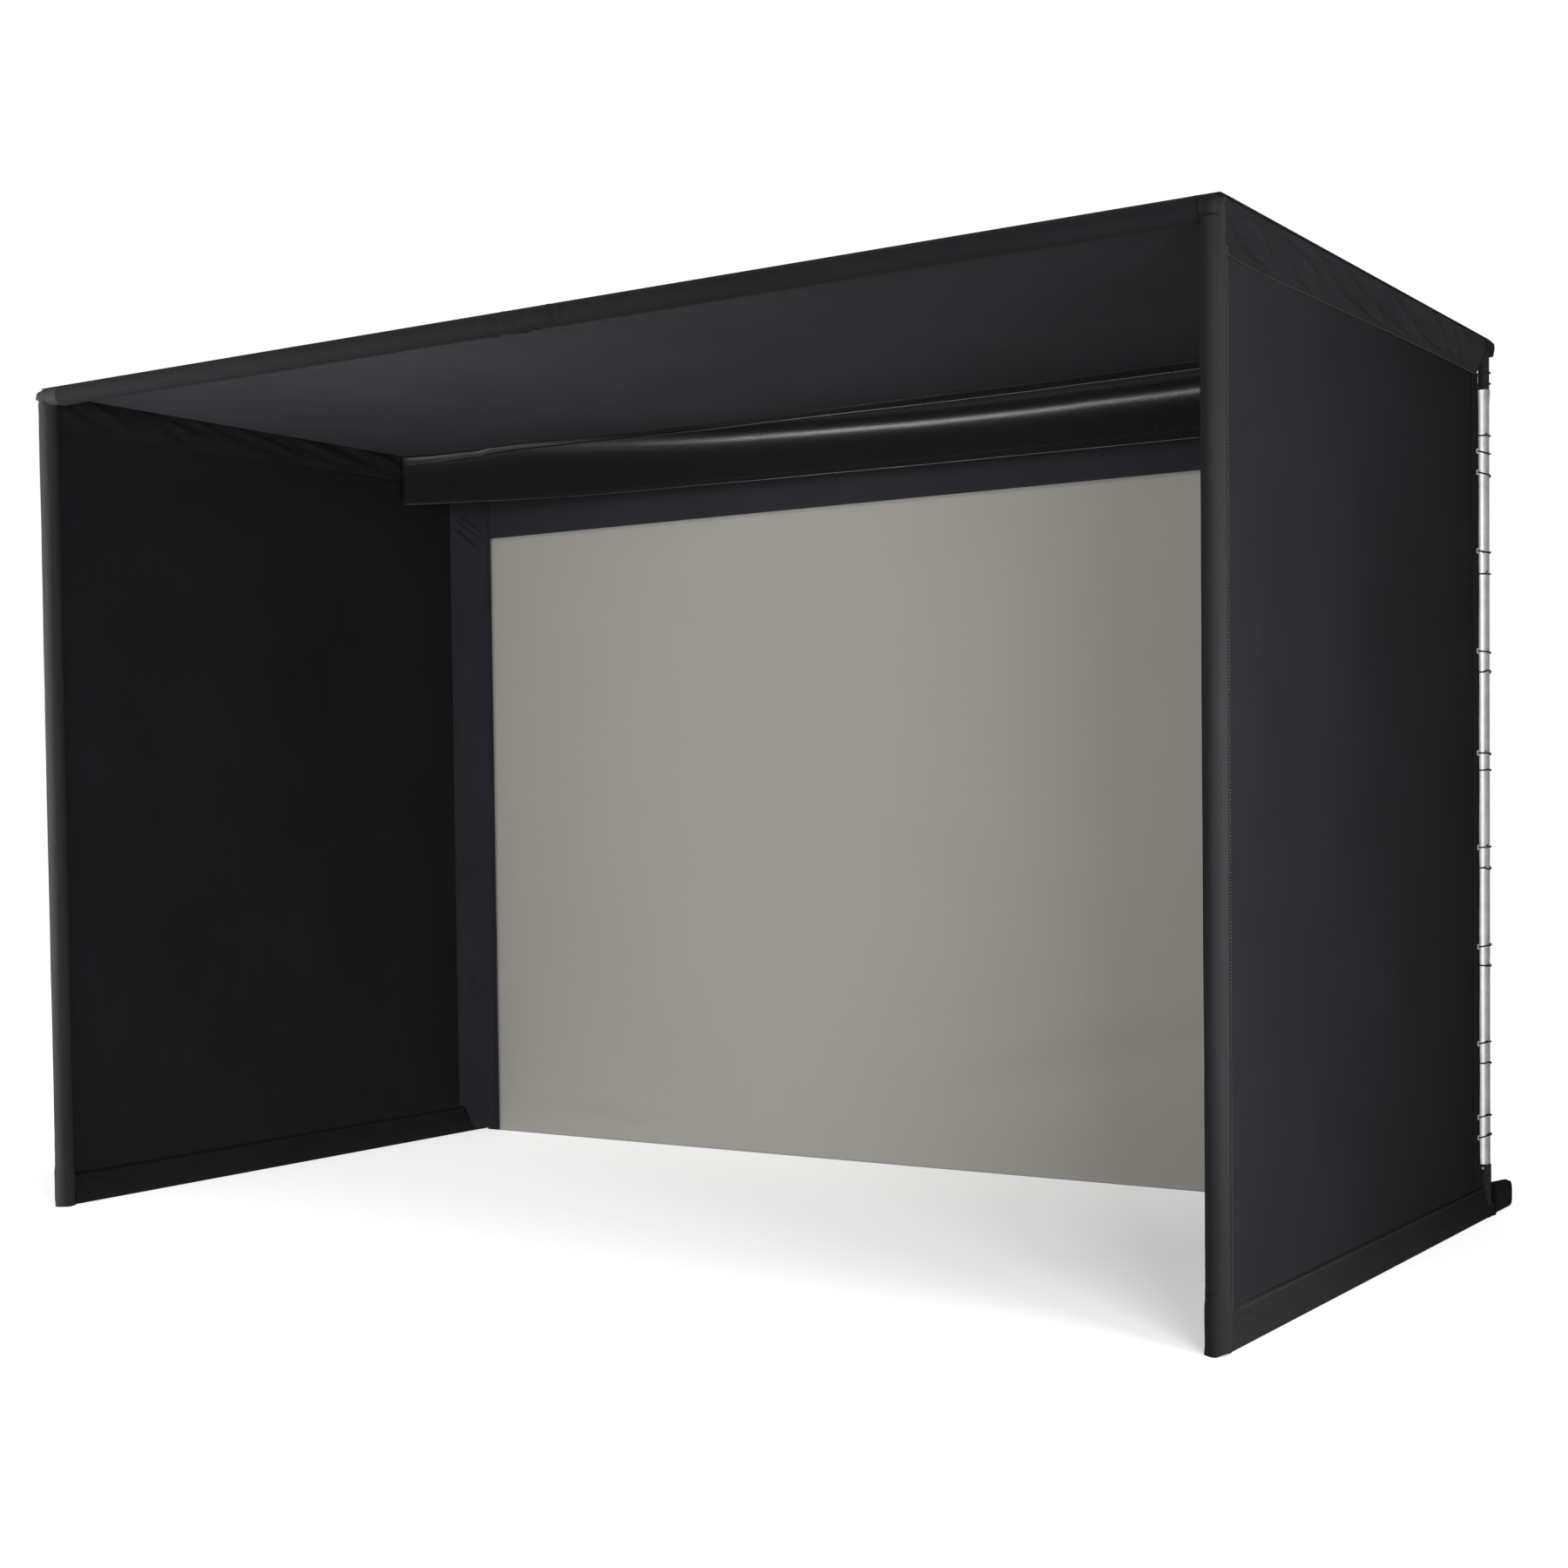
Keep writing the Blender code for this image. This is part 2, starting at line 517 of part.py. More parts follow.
def bungee(name, pipe_centre, turn_centre, plane, level):
    """An elastic loop round a pipe and through a grommet: a belt over two circles in one plane."""
    pipe_centre, turn_centre = Vector(pipe_centre), Vector(turn_centre)
    reach = turn_centre - pipe_centre
    heading = math.atan2(reach.y, reach.x)
    wrap_radius = PIPE_RADIUS + CORD_RADIUS + SEAM_GAP
    spread = math.acos((wrap_radius - TURN_RADIUS) / reach.length)

    def arc(centre, radius, first, last, count):
        angles = [first + (last - first) * step / (count - 1) for step in range(count)]
        return [centre + radius * Vector((math.cos(angle), math.sin(angle))) for angle in angles]

    route = arc(pipe_centre, wrap_radius, heading + spread, heading + 2 * math.pi - spread, 12)
    route += arc(turn_centre, TURN_RADIUS, heading - spread, heading + spread, 6)
    curve = bpy.data.curves.new(name, "CURVE")
    curve.dimensions = "3D"
    curve.bevel_depth = CORD_RADIUS
    curve.bevel_resolution = 2
    line = curve.splines.new("POLY")
    line.points.add(len(route) - 1)
    for point, spot in zip(line.points, route):
        place = (spot.x, spot.y, level) if plane == "XY" else (level, spot.x, spot.y)
        point.co = (*place, 1.0)
    line.use_cyclic_u = True
    add_part(name, curve, "elastic_cord")


clear_scene()
PARTS = new_collection("screen_enclosure")
CUTTERS = new_collection("cutters", hidden=True)
build_pipes()
build_couplers()
build_fittings()
build_padding()
build_roof()
build_sides()
build_baffle()
build_screen()
build_side_flaps()
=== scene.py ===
"""Looks of the impact-screen enclosure: cloth, steel, elastic loops, floor, light and camera.

Metres, in the frame's own axes: +Z up, the open front faces -Y. "left" is -X and "right" is +X.
"""
from math import acos, atan2, copysign, cos, exp, pi, radians, sin, sqrt

import bmesh
import bpy
from mathutils import Matrix, Vector, noise


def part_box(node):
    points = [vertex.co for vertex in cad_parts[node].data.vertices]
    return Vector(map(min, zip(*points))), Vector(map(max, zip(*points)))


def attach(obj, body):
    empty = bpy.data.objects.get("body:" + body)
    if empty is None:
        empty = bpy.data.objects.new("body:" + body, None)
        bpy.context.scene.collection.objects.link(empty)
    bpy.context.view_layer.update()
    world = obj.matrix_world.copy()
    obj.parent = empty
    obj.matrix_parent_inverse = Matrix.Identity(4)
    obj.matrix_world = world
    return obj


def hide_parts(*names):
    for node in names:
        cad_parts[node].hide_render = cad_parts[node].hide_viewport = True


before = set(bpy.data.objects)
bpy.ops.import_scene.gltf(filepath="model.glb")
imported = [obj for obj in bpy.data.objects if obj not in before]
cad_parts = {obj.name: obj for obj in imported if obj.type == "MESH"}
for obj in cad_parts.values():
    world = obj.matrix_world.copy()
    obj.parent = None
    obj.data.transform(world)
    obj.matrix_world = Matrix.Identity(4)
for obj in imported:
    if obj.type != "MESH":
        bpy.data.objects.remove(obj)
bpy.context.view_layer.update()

SIDES = {"left": -1, "right": 1}


def centre(node, axis):
    low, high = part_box(node)
    return (low[axis] + high[axis]) / 2


# Places, all read from the frame
AXIS = centre("rear_upright_pipe_right", 0)
FRONT = centre("front_upright_sleeve_right", 1)
REAR = centre("rear_upright_pipe_right", 1)
TOP = centre("side_top_pipe_right", 2)
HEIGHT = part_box("roof_panel")[1][2]
SLEEVE = (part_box("front_upright_sleeve_right")[1][0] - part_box("front_upright_sleeve_right")[0][0]) / 2
SCREEN_Y = centre("impact_screen", 1)
SCREEN_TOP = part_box("impact_screen")[1][2]
SCREEN_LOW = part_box("impact_screen")[0][2]
BORDER_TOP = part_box("screen_top_border")[1][2]
SCREEN_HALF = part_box("screen_side_border_right")[1][0]
TAUPE_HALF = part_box("impact_screen")[1][0]
HEM_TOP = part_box("bottom_hem_right")[1][2]
FOOT_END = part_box("bottom_hem_right")[1][1]
BAND_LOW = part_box("top_band_right")[0][2]
WALL_X = centre("side_wall_right", 0)
WALL_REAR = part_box("side_wall_right")[1][1]

# Sizes that the frame doesn't hold
PIPE = 0.01475            # outer radius of the steel pipes
PIPE_WALL = 0.00145
PIPE_CLEAR = 0.0166       # how near cloth comes to a pipe's axis
BELL = 0.0168             # outer radius of a pipe's widened end
CLOTH = 0.0011            # thickness of the shell's cloth
STITCH, STITCH_GAP = 0.0045, 0.0025
CAP_RADIUS = 0.0270
BOOT_RADIUS = 0.0288
BOOT_HEIGHT = 0.130
WALL_HEM = 0.060
TURN = 0.0065             # radius of an elastic loop where it passes a grommet
WRAP = PIPE + 0.0026      # radius of an elastic loop where it passes a pipe
GROMMET_INSET = 0.0105
LOOP_HEIGHTS = (2.178, 2.127, 2.069, 1.854, 1.796, 1.579, 1.524, 1.298, 1.251,
                1.037, 0.979, 0.762, 0.706, 0.493, 0.432, 0.288, 0.231)


def placed(name, data):
    """A new object in the scene."""
    item = bpy.data.objects.new(name, data)
    bpy.context.scene.collection.objects.link(item)
    return item


# ---- camera

def place_camera():
    data = bpy.data.cameras.new("camera")
    data.lens = 52.78
    data.sensor_width = 36.0
    data.shift_y = 0.0617
    data.clip_end = 100.0
    camera = placed("camera", data)
    yaw, pitch, roll = (radians(angle) for angle in (33.47, -1.834, 0.663))
    turn = (Matrix.Rotation(yaw, 4, "Z") @ Matrix.Rotation(pitch, 4, "X")
            @ Matrix.Rotation(roll, 4, "Y") @ Matrix.Rotation(pi / 2, 4, "X"))
    camera.matrix_world = Matrix.Translation((3.7545, -5.5919, 1.1707)) @ turn
    bpy.context.scene.camera = camera


# ---- materials

class Shader:
    """A Principled material and short ways to add nodes to it."""

    def __init__(self, name, colour, roughness, metallic=0.0):
        self.material = bpy.data.materials.new(name)
        self.material.use_nodes = True
        self.nodes = self.material.node_tree.nodes
        self.links = self.material.node_tree.links
        self.shader = self.nodes["Principled BSDF"]
        self.colour = colour
        self.set("Base Color", (*colour, 1.0))
        self.set("Roughness", roughness)
        self.set("Metallic", metallic)

    def set(self, socket, value):
        self.shader.inputs[socket].default_value = value

    def add(self, kind, **settings):
        node = self.nodes.new(kind)
        for key, value in settings.items():
            setattr(node, key, value)
        return node

    def link(self, source, target):
        self.links.new(source, target)

    def coordinates(self, kind, scale=(1.0, 1.0, 1.0)):
        mapping = self.add("ShaderNodeMapping")
        mapping.inputs["Scale"].default_value = scale
        self.link(self.add("ShaderNodeTexCoord").outputs[kind], mapping.inputs["Vector"])
        return mapping.outputs["Vector"]

    def noise(self, vector, scale, detail=2.0, roughness=0.5):
        node = self.add("ShaderNodeTexNoise")
        node.inputs["Scale"].default_value = scale
        node.inputs["Detail"].default_value = detail
        node.inputs["Roughness"].default_value = roughness
        self.link(vector, node.inputs["Vector"])
        return node.outputs["Fac"]

    def ramp(self, value, low, high, start=0.3, end=0.7):
        """Maps a 0 to 1 value between two numbers."""
        node = self.add("ShaderNodeMapRange")
        for socket, number in (("From Min", start), ("From Max", end), ("To Min", low), ("To Max", high)):
            node.inputs[socket].default_value = number
        self.link(value, node.inputs["Value"])
        return node.outputs["Result"]

    def math(self, operation, first, second):
        node = self.add("ShaderNodeMath", operation=operation)
        for socket, value in zip(node.inputs, (first, second)):
            if isinstance(value, (int, float)):
                socket.default_value = value
            else:
                self.link(value, socket)
        return node.outputs[0]

    def tint(self, *factors):
        """The base colour times one or more values."""
        value = factors[0]
        for factor in factors[1:]:
            value = self.math("MULTIPLY", value, factor)
        node = self.add("ShaderNodeVectorMath", operation="SCALE")
        node.inputs[0].default_value = self.colour
        self.link(value, node.inputs["Scale"])
        self.link(node.outputs["Vector"], self.shader.inputs["Base Color"])

    def bump(self, height, distance, strength=1.0):
        node = self.add("ShaderNodeBump")
        node.inputs["Strength"].default_value = strength
        node.inputs["Distance"].default_value = distance
        self.link(height, node.inputs["Height"])
        self.link(node.outputs["Normal"], self.shader.inputs["Normal"])


def cloth_material(name, colour, roughness=0.85, sheen=0.012, weave=0.0011, relief=0.00012,
                   streaks=0.10, mottle=0.10, grain=0.20, specular=0.10, space="UV"):
    """Woven cloth. UV maps are in metres, so the weave keeps one size on every piece."""
    cloth = Shader(name, colour, roughness)
    cloth.set("Sheen Weight", sheen)
    cloth.set("Sheen Roughness", 0.45)
    cloth.set("Specular IOR Level", specular)
    flat = cloth.coordinates(space)
    waves = []
    for direction in ("X", "Y"):
        wave = cloth.add("ShaderNodeTexWave", wave_type="BANDS", bands_direction=direction)
        wave.inputs["Scale"].default_value = 0.314 / weave
        wave.inputs["Distortion"].default_value = 0.6
        wave.inputs["Detail"].default_value = 1.0
        cloth.link(flat, wave.inputs["Vector"])
        waves.append(wave.outputs["Fac"])
    threads = cloth.math("MULTIPLY", *waves)
    warp = cloth.noise(cloth.coordinates(space, (330.0, 2.5, 1.0)), 1.0, 1.0)
    specks = cloth.noise(flat, 330.0, 3.0, 0.7)
    clouds = cloth.noise(flat, 2.3, 3.0)
    cloth.tint(cloth.ramp(threads, 0.93, 1.07, 0.0, 1.0), cloth.ramp(warp, 1 - streaks, 1 + streaks),
               cloth.ramp(clouds, 1 - mottle, 1 + mottle), cloth.ramp(specks, 1 - grain, 1 + grain))
    cloth.link(cloth.ramp(specks, roughness - 0.06, roughness + 0.06), cloth.shader.inputs["Roughness"])
    cloth.bump(cloth.math("ADD", threads, cloth.math("MULTIPLY", specks, 0.6)), relief)
    return cloth.material


def steel_material():
    """Galvanised conduit: fine streaks along the pipe, soft cloudy spangle, dull patches."""
    steel = Shader("galvanised_steel", (0.76, 0.78, 0.80), 0.50, 0.70)
    drawn = steel.noise(steel.coordinates("Object", (260.0, 260.0, 3.0)), 1.0, 2.0)
    cloudy = steel.noise(steel.coordinates("Object"), 38.0, 3.0, 0.6)
    steel.tint(steel.ramp(drawn, 0.88, 1.05), steel.ramp(cloudy, 0.90, 1.04))
    steel.link(steel.ramp(cloudy, 0.44, 0.58), steel.shader.inputs["Roughness"])
    steel.bump(drawn, 0.00008, 0.5)
    return steel.material


def coat_material():
    """Black powder coat with its orange peel, rubbed a little at random."""
    coat = Shader("black_casting", (0.016, 0.016, 0.018), 0.42)
    place = coat.coordinates("Object")
    peel = coat.noise(place, 900.0, 1.0)
    rubbed = coat.noise(place, 60.0, 4.0, 0.7)
    coat.tint(coat.ramp(rubbed, 0.8, 1.5, 0.45, 0.75))
    coat.link(coat.ramp(rubbed, 0.36, 0.55), coat.shader.inputs["Roughness"])
    coat.bump(peel, 0.00015)
    return coat.material


def plain_material(name, colour, roughness, metallic=0.0, scale=300.0, depth=0.00010, change=0.12):
    """A single-colour surface with fine relief and slight colour and gloss changes."""
    plain = Shader(name, colour, roughness, metallic)
    place = plain.coordinates("Object")
    fine = plain.noise(place, scale, 2.0)
    broad = plain.noise(place, scale / 12, 3.0)
    plain.tint(plain.ramp(broad, 1 - change, 1 + change), plain.ramp(fine, 0.94, 1.06))
    plain.link(plain.ramp(fine, roughness - 0.05, roughness + 0.05), plain.shader.inputs["Roughness"])
    plain.bump(fine, depth)
    return plain.material


def elastic_material():
    """Braided elastic: a fine diagonal braid along each loop."""
    elastic = Shader("elastic_cord", (0.012, 0.012, 0.013), 0.6)
    braid = elastic.add("ShaderNodeTexWave", wave_type="BANDS", bands_direction="DIAGONAL")
    braid.inputs["Scale"].default_value = 190.0
    elastic.link(elastic.coordinates("Object"), braid.inputs["Vector"])
    elastic.tint(elastic.ramp(braid.outputs["Fac"], 0.7, 1.4, 0.0, 1.0))
    elastic.bump(braid.outputs["Fac"], 0.0003)
    return elastic.material


# ---- meshes

def ripple(x, y, z=0.0):
    return noise.noise(Vector((x, y, z)))


def smooth(value, low, high):
    """0 below low, 1 above high, and a smooth step between."""
    step = min(1.0, max(0.0, (value - low) / (high - low)))
    return step * step * (3 - 2 * step)


def crease(x, y, start, end, width, depth):
    """Height at (x, y) of one soft crease that runs from start to end and dies out at both."""
    run = Vector(end) - Vector(start)
    reach = Vector((x, y)) - Vector(start)
    along = reach.dot(run) / run.length_squared
    if not -0.15 < along < 1.15:
        return 0.0
    off = (run.x * reach.y - run.y * reach.x) / run.length / width
    if abs(off) > 4:
        return 0.0
    fade = smooth(along, -0.15, 0.30) * (1 - smooth(along, 0.55, 1.15))
    return depth * fade * (exp(-off * off) - 0.55 * exp(-(off - 1.5) ** 2))


def creases(x, y, lines, width, depth):
    """Height at (x, y) of several creases of one width and depth."""
    return sum(crease(x, y, *line, width, depth) for line in lines)


def new_piece(name, mesh, material, replaces=(), body="frame"):
    piece = placed(name, mesh)
    mesh.materials.clear()
    mesh.materials.append(material)
    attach(piece, body)
    if replaces:
        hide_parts(*replaces)
    return piece


def grid_mesh(name, columns, rows, place, flat, wrap=False):
    """A net of quads; place(u, v) gives each point, u and v from 0 to 1. UVs are in metres."""
    mesh = bpy.data.meshes.new(name)
    across = columns if wrap else columns + 1
    points = [place(column / columns, row / rows) for row in range(rows + 1) for column in range(across)]
    faces = []
    for row in range(rows):
        for column in range(columns):
            left, right = column, (column + 1) % across
            faces.append((row * across + left, row * across + right,
                          (row + 1) * across + right, (row + 1) * across + left))
    mesh.from_pydata(points, [], faces)
    layer = mesh.uv_layers.new(name="cloth")
    corner = 0
    for row in range(rows):
        for column in range(columns):
            for step, lift in ((0, 0), (1, 0), (1, 1), (0, 1)):
                layer.data[corner].uv = ((column + step) / columns * flat[0], (row + lift) / rows * flat[1])
                corner += 1
    mesh.shade_smooth()
    return mesh


def cloth_piece(name, columns, rows, place, flat, material, replaces=(), body="frame",
                wrap=False, thickness=CLOTH):
    """A piece of cloth: a net of quads given a thickness, with UVs that span the flat size."""
    mesh = grid_mesh(name, columns, rows, place, flat, wrap)
    piece = new_piece(name, mesh, material, replaces, body)
    solid = piece.modifiers.new("Thickness", "SOLIDIFY")
    solid.thickness = thickness
    solid.offset = 0.0


def path_point(points, share):
    """The point at a share of a polyline's length."""
    steps = [(b - a).length for a, b in zip(points, points[1:])]
    left = share * sum(steps)
    for start, end, step in zip(points, points[1:], steps):
        if left <= step:
            return start.lerp(end, left / step if step else 0.0)
        left -= step
    return points[-1]


def rounded(points, radius, steps=4):
    """An open polyline with its corners rounded off."""
    points = [Vector(point) for point in points]
    path = [points[0]]
    for before, corner, after in zip(points, points[1:], points[2:]):
        first, last = before - corner, after - corner
        cut = min(radius, first.length * 0.45, last.length * 0.45)
        start, end = corner + first.normalized() * cut, corner + last.normalized() * cut
        for step in range(steps + 1):
            share = step / steps
            path.append(start.lerp(corner, share).lerp(corner.lerp(end, share), share))
    return path + [points[-1]]


def path_length(points):
    return sum((b - a).length for a, b in zip(points, points[1:]))


def turns(count):
    """The cosines and sines of evenly spread angles."""
    return [(cos(angle), sin(angle))
            for angle in (2 * pi * step / count for step in range(count))]


def bridge(shape, first, second):
    """Quads between two rings of points."""
    for side in range(len(first)):
        after = (side + 1) % len(first)
        shape.faces.new((first[side], first[after], second[after], second[side]))


def taken(shape, name, rounded_off=False):
    """The mesh of a bmesh, which is freed. A rounded one gets outward normals and smooth shading."""
    if rounded_off:
        bmesh.ops.recalc_face_normals(shape, faces=shape.faces)
    mesh = bpy.data.meshes.new(name)
    shape.to_mesh(mesh)
    shape.free()
    if rounded_off:
        mesh.shade_smooth()
    return mesh


def lathe_mesh(name, profile, sides=48):
    """A closed (radius, height) profile turned about Z."""
    shape = bmesh.new()
    rings = [[shape.verts.new((radius * across, radius * over, height)) for across, over in turns(sides)]
             for radius, height in profile]
    for first, second in zip(rings, rings[1:] + rings[:1]):
        bridge(shape, first, second)
    mesh = taken(shape, name, True)
    mesh.set_sharp_from_angle(angle=radians(40))
    return mesh


def stand(mesh, start, direction):
    """Turns a mesh made along Z so that it runs from start in a direction."""
    turn = Vector(direction).to_track_quat("Z", "Y").to_matrix().to_4x4()
    mesh.transform(Matrix.Translation(start) @ turn)
    return mesh


def joined(name, meshes):
    """One mesh out of several."""
    shape = bmesh.new()
    for mesh in meshes:
        shape.from_mesh(mesh)
        bpy.data.meshes.remove(mesh)
    return taken(shape, name)


def joined_piece(name, meshes, material, body="frame"):
    new_piece(name, joined(name, meshes), material, body=body)


def seam_mesh(points, radius):
    """A row of short raised threads along a line of points."""
    shape = bmesh.new()
    total = path_length(points)
    place = 0.0
    while place + STITCH < total:
        start, end = (path_point(points, spot / total) for spot in (place, place + STITCH))
        run = (end - start).normalized()
        side = run.orthogonal().normalized()
        over = run.cross(side)
        ring = [side, over, -side, -over]
        low = [shape.verts.new(start + offset * radius * 0.6) for offset in ring]
        mid = [shape.verts.new(start.lerp(end, 0.5) + offset * radius) for offset in ring]
        high = [shape.verts.new(end + offset * radius * 0.6) for offset in ring]
        bridge(shape, low, mid)
        bridge(shape, mid, high)
        shape.faces.new(low[::-1])
        shape.faces.new(high)
        place += STITCH + STITCH_GAP
    return taken(shape, "seam", True)


def stitches(name, lines, radius=0.00055, body="frame"):
    """Rows of stitches, one along each line of points."""
    joined_piece(name, [seam_mesh(line, radius) for line in lines], THREAD, body)


def rope_mesh(name, points, radius):
    """A thin round strand along a line of points, closed at both ends."""
    shape = bmesh.new()
    rings = []
    for index, spot in enumerate(points):
        run = (points[min(index + 1, len(points) - 1)] - points[max(index - 1, 0)]).normalized()
        flat = run.cross(Vector((0.36, 0.48, 0.80))).normalized()
        over = run.cross(flat)
        rings.append([shape.verts.new(spot + (flat * cosine + over * sine) * radius)
                      for cosine, sine in turns(6)])
    for low, high in zip(rings, rings[1:]):
        bridge(shape, low, high)
    shape.faces.new(rings[0][::-1])
    shape.faces.new(rings[-1])
    return taken(shape, name, True)


def fused_mesh(name, meshes, voxel, softening):
    """One smooth closed body out of overlapping ones."""
    body = placed(name, joined(name, meshes))
    remesh = body.modifiers.new("Fuse", "REMESH")
    remesh.mode = "VOXEL"
    remesh.voxel_size = voxel
    soften = body.modifiers.new("Soften", "SMOOTH")
    soften.iterations = softening
    mesh = bpy.data.meshes.new_from_object(body.evaluated_get(bpy.context.evaluated_depsgraph_get()))
    bpy.data.objects.remove(body)
    mesh.name = name
    mesh.shade_smooth()
    return mesh


def ball_mesh(spot, radius, stretch=(1.0, 1.0, 1.0)):
    shape = bmesh.new()
    bmesh.ops.create_icosphere(shape, subdivisions=3, radius=radius)
    for vertex in shape.verts:
        vertex.co = Vector(spot) + Vector(a * b for a, b in zip(vertex.co, stretch))
    return taken(shape, "ball")


def loops_piece(name, routes, replaces):
    """Elastic loops, one closed spline each."""
    curve = bpy.data.curves.new(name, "CURVE")
    curve.dimensions = "3D"
    curve.bevel_depth = 0.0022
    curve.bevel_resolution = 3
    for route in routes:
        line = curve.splines.new("POLY")
        line.points.add(len(route) - 1)
        for point, spot in zip(line.points, route):
            point.co = (*spot, 1.0)
        line.use_cyclic_u = True
        line.use_smooth = True
    new_piece(name, curve, ELASTIC, replaces)


# ---- the object

SHELL = cloth_material("shell_cloth", (0.0104, 0.0107, 0.0120), sheen=0.006, specular=0.06)
# Lighter than the shell cloth. On the right top band this is painted light: the left band, the same cloth,
# takes the darker shell cloth.
BAND = cloth_material("band_cloth", (0.0155, 0.0159, 0.0176))
HEM = cloth_material("hem_cloth", (0.0100, 0.0104, 0.0108), relief=0.00016)
TAPE = cloth_material("seam_tape", (0.0300, 0.0304, 0.0320), weave=0.0016)
# Lighter than the shell cloth of the same fabric: painted light, standing in for light bounced up onto the
# ceiling.
CEILING = cloth_material("ceiling_cloth", (0.0176, 0.0181, 0.0215), streaks=0.14)
SLEEVE_CLOTH = cloth_material("sleeve_cloth", (0.0180, 0.0188, 0.0196), relief=0.00016)
# Darker than the shell and sleeve cloths of the same fabric: painted shade on the front top sleeve.
TOP_CLOTH = cloth_material("top_sleeve_cloth", (0.0058, 0.0060, 0.0068), relief=0.00016)
BAFFLE = cloth_material("baffle_cloth", (0.0046, 0.0047, 0.0052), roughness=0.27, sheen=0.0,
                        specular=1.0, relief=0.00002, streaks=0.05, grain=0.08)
SCREEN = cloth_material("screen_cloth", (0.296, 0.283, 0.258), roughness=0.9, sheen=0.02, weave=0.0016,
                        streaks=0.014, mottle=0.012, grain=0.02, specular=0.15)
BORDER = cloth_material("border_cloth", (0.0215, 0.0222, 0.0260))
FLAP = cloth_material("flap_cloth", (0.0175, 0.0170, 0.0207))
CAP = cloth_material("cap_cloth", (0.0165, 0.0172, 0.0182), relief=0.00016, space="Object")
THREAD = plain_material("thread", (0.045, 0.045, 0.050), 0.6, scale=900.0)
STEEL = steel_material()
COAT = coat_material()
ELASTIC = elastic_material()
NICKEL = plain_material("nickel_ring", (0.66, 0.66, 0.64), 0.30, 0.4)
FOAM = plain_material("black_foam_cells", (0.020, 0.020, 0.022), 0.9, scale=700.0, depth=0.0004)


def tube_place(start, axis, length, swell):
    """place(u, v) for a tube: u goes round it and v along it; swell(angle, along) is its radius."""
    right, back, up = Matrix.Identity(3)
    side, over, run = (back, up, right) if axis == "X" else (right, back, up)

    def place(u, v):
        angle = 2 * pi * u
        along = v * length
        radius = swell(angle, along)
        return Vector(start) + run * along + (side * cos(angle) + over * sin(angle)) * radius

    return place


def make_front_top():
    """Padded sleeve on the front top pipe, bunched where its two lengths meet."""
    left, right = 0.058 - AXIS, AXIS - 0.020

    def swell(angle, along):
        x = along + left
        gap = min(along, right - x)
        radius = SLEEVE + 0.0004 + 0.0016 * ripple(x * 1.6, 3.1) + 0.0007 * ripple(x * 9, angle, 5.0)
        low = max(0.0, -sin(angle))
        radius += 0.0035 * low * low
        bunch = smooth(x, -0.24, -0.08) * (1 - smooth(x, 0.12, 0.26))
        lean = x + 0.012 * sin(angle * 2) + 0.02 * sin(angle)
        radius += bunch * 0.0034 * ripple(lean * 42, angle * 0.5, 1.0)
        radius += bunch * 0.0016 * ripple(x * 24, angle, 8.0)
        radius += bunch * low * (0.0030 * ripple(x * 16, 2.0, 8.0) + 0.0015)
        return radius + 0.0014 * (1 - smooth(gap, 0.01, 0.05)) - 0.004 * (1 - smooth(gap, 0.0, 0.008))

    place = tube_place((left, FRONT, TOP), "X", right - left, swell)
    # The darker top sleeve cloth is painted shade.
    cloth_piece("front_top_sleeve_cloth", 32, 620, place, (2 * pi * SLEEVE, right - left),
                TOP_CLOTH, ("front_top_sleeve",), wrap=True)


def make_front_upright(word, side):
    low, high = 0.118, TOP - 0.020

    def swell(angle, along):
        seed = side * 7.0
        radius = SLEEVE + 0.0003 + 0.0011 * ripple(along * 1.3, cos(angle), seed)
        radius += 0.0006 * ripple(along * 6, angle, seed + 3)
        fold = smooth(along, high - low - 0.30, high - low) + 1 - smooth(along, 0.0, 0.22)
        return radius + 0.0012 * fold * ripple(along * 26 + 5 * sin(angle), angle * 0.6, seed)

    place = tube_place((side * AXIS, FRONT, low), "Z", high - low, swell)
    cloth_piece(f"front_upright_cloth_{word}", 36, 420, place, (2 * pi * SLEEVE, high - low),
                SLEEVE_CLOTH, (f"front_upright_sleeve_{word}",), wrap=True)


def make_cap(word, side):
    """Padded hood over a front top corner; the left one stands out in a small ear."""
    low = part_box("corner_cap_right")[0][2]
    corner = Vector((side * AXIS, FRONT, TOP))
    wide, core = CAP_RADIUS, 0.004
    tube = [(wide - 0.0006, low), (wide, low + 0.003), (wide, TOP), (core, TOP), (core, low)]
    reach = 0.082 if side < 0 else 0.022
    arm = [(wide - 0.0012, 0.0), (wide - 0.0012, reach), (core, reach), (core, 0.0)]
    shapes = [stand(lathe_mesh("tube", tube), (side * AXIS, FRONT, 0.0), (0, 0, 1)),
              stand(lathe_mesh("arm", arm), corner, (-side, 0, 0)), ball_mesh(corner, wide)]
    if side < 0:
        shapes += [ball_mesh(corner + Vector((-0.020, -0.004, 0.004)), 0.018, (1.15, 0.9, 0.95)),
                   ball_mesh(corner + Vector((-0.034, -0.004, 0.0005)), 0.010, (1.35, 0.9, 0.8))]
    else:
        shapes += [ball_mesh(corner + Vector((0.012, 0.010, 0.014)), 0.011, (1.3, 1.3, 0.9))]
    mesh = fused_mesh("cap", shapes, 0.0018, 3)
    for vertex in mesh.vertices:
        spot = vertex.co - corner
        fold = 0.0016 * ripple(spot.x * 40 + spot.z * 25, spot.z * 30, side * 3.0)
        fold += 0.0010 * ripple(spot.x * 90, spot.y * 60, spot.z * 45)
        vertex.co += vertex.normal * fold * smooth(spot.z, -0.085, -0.02)
    piece = new_piece(f"corner_cap_cloth_{word}", mesh, CAP, (f"corner_cap_{word}",))


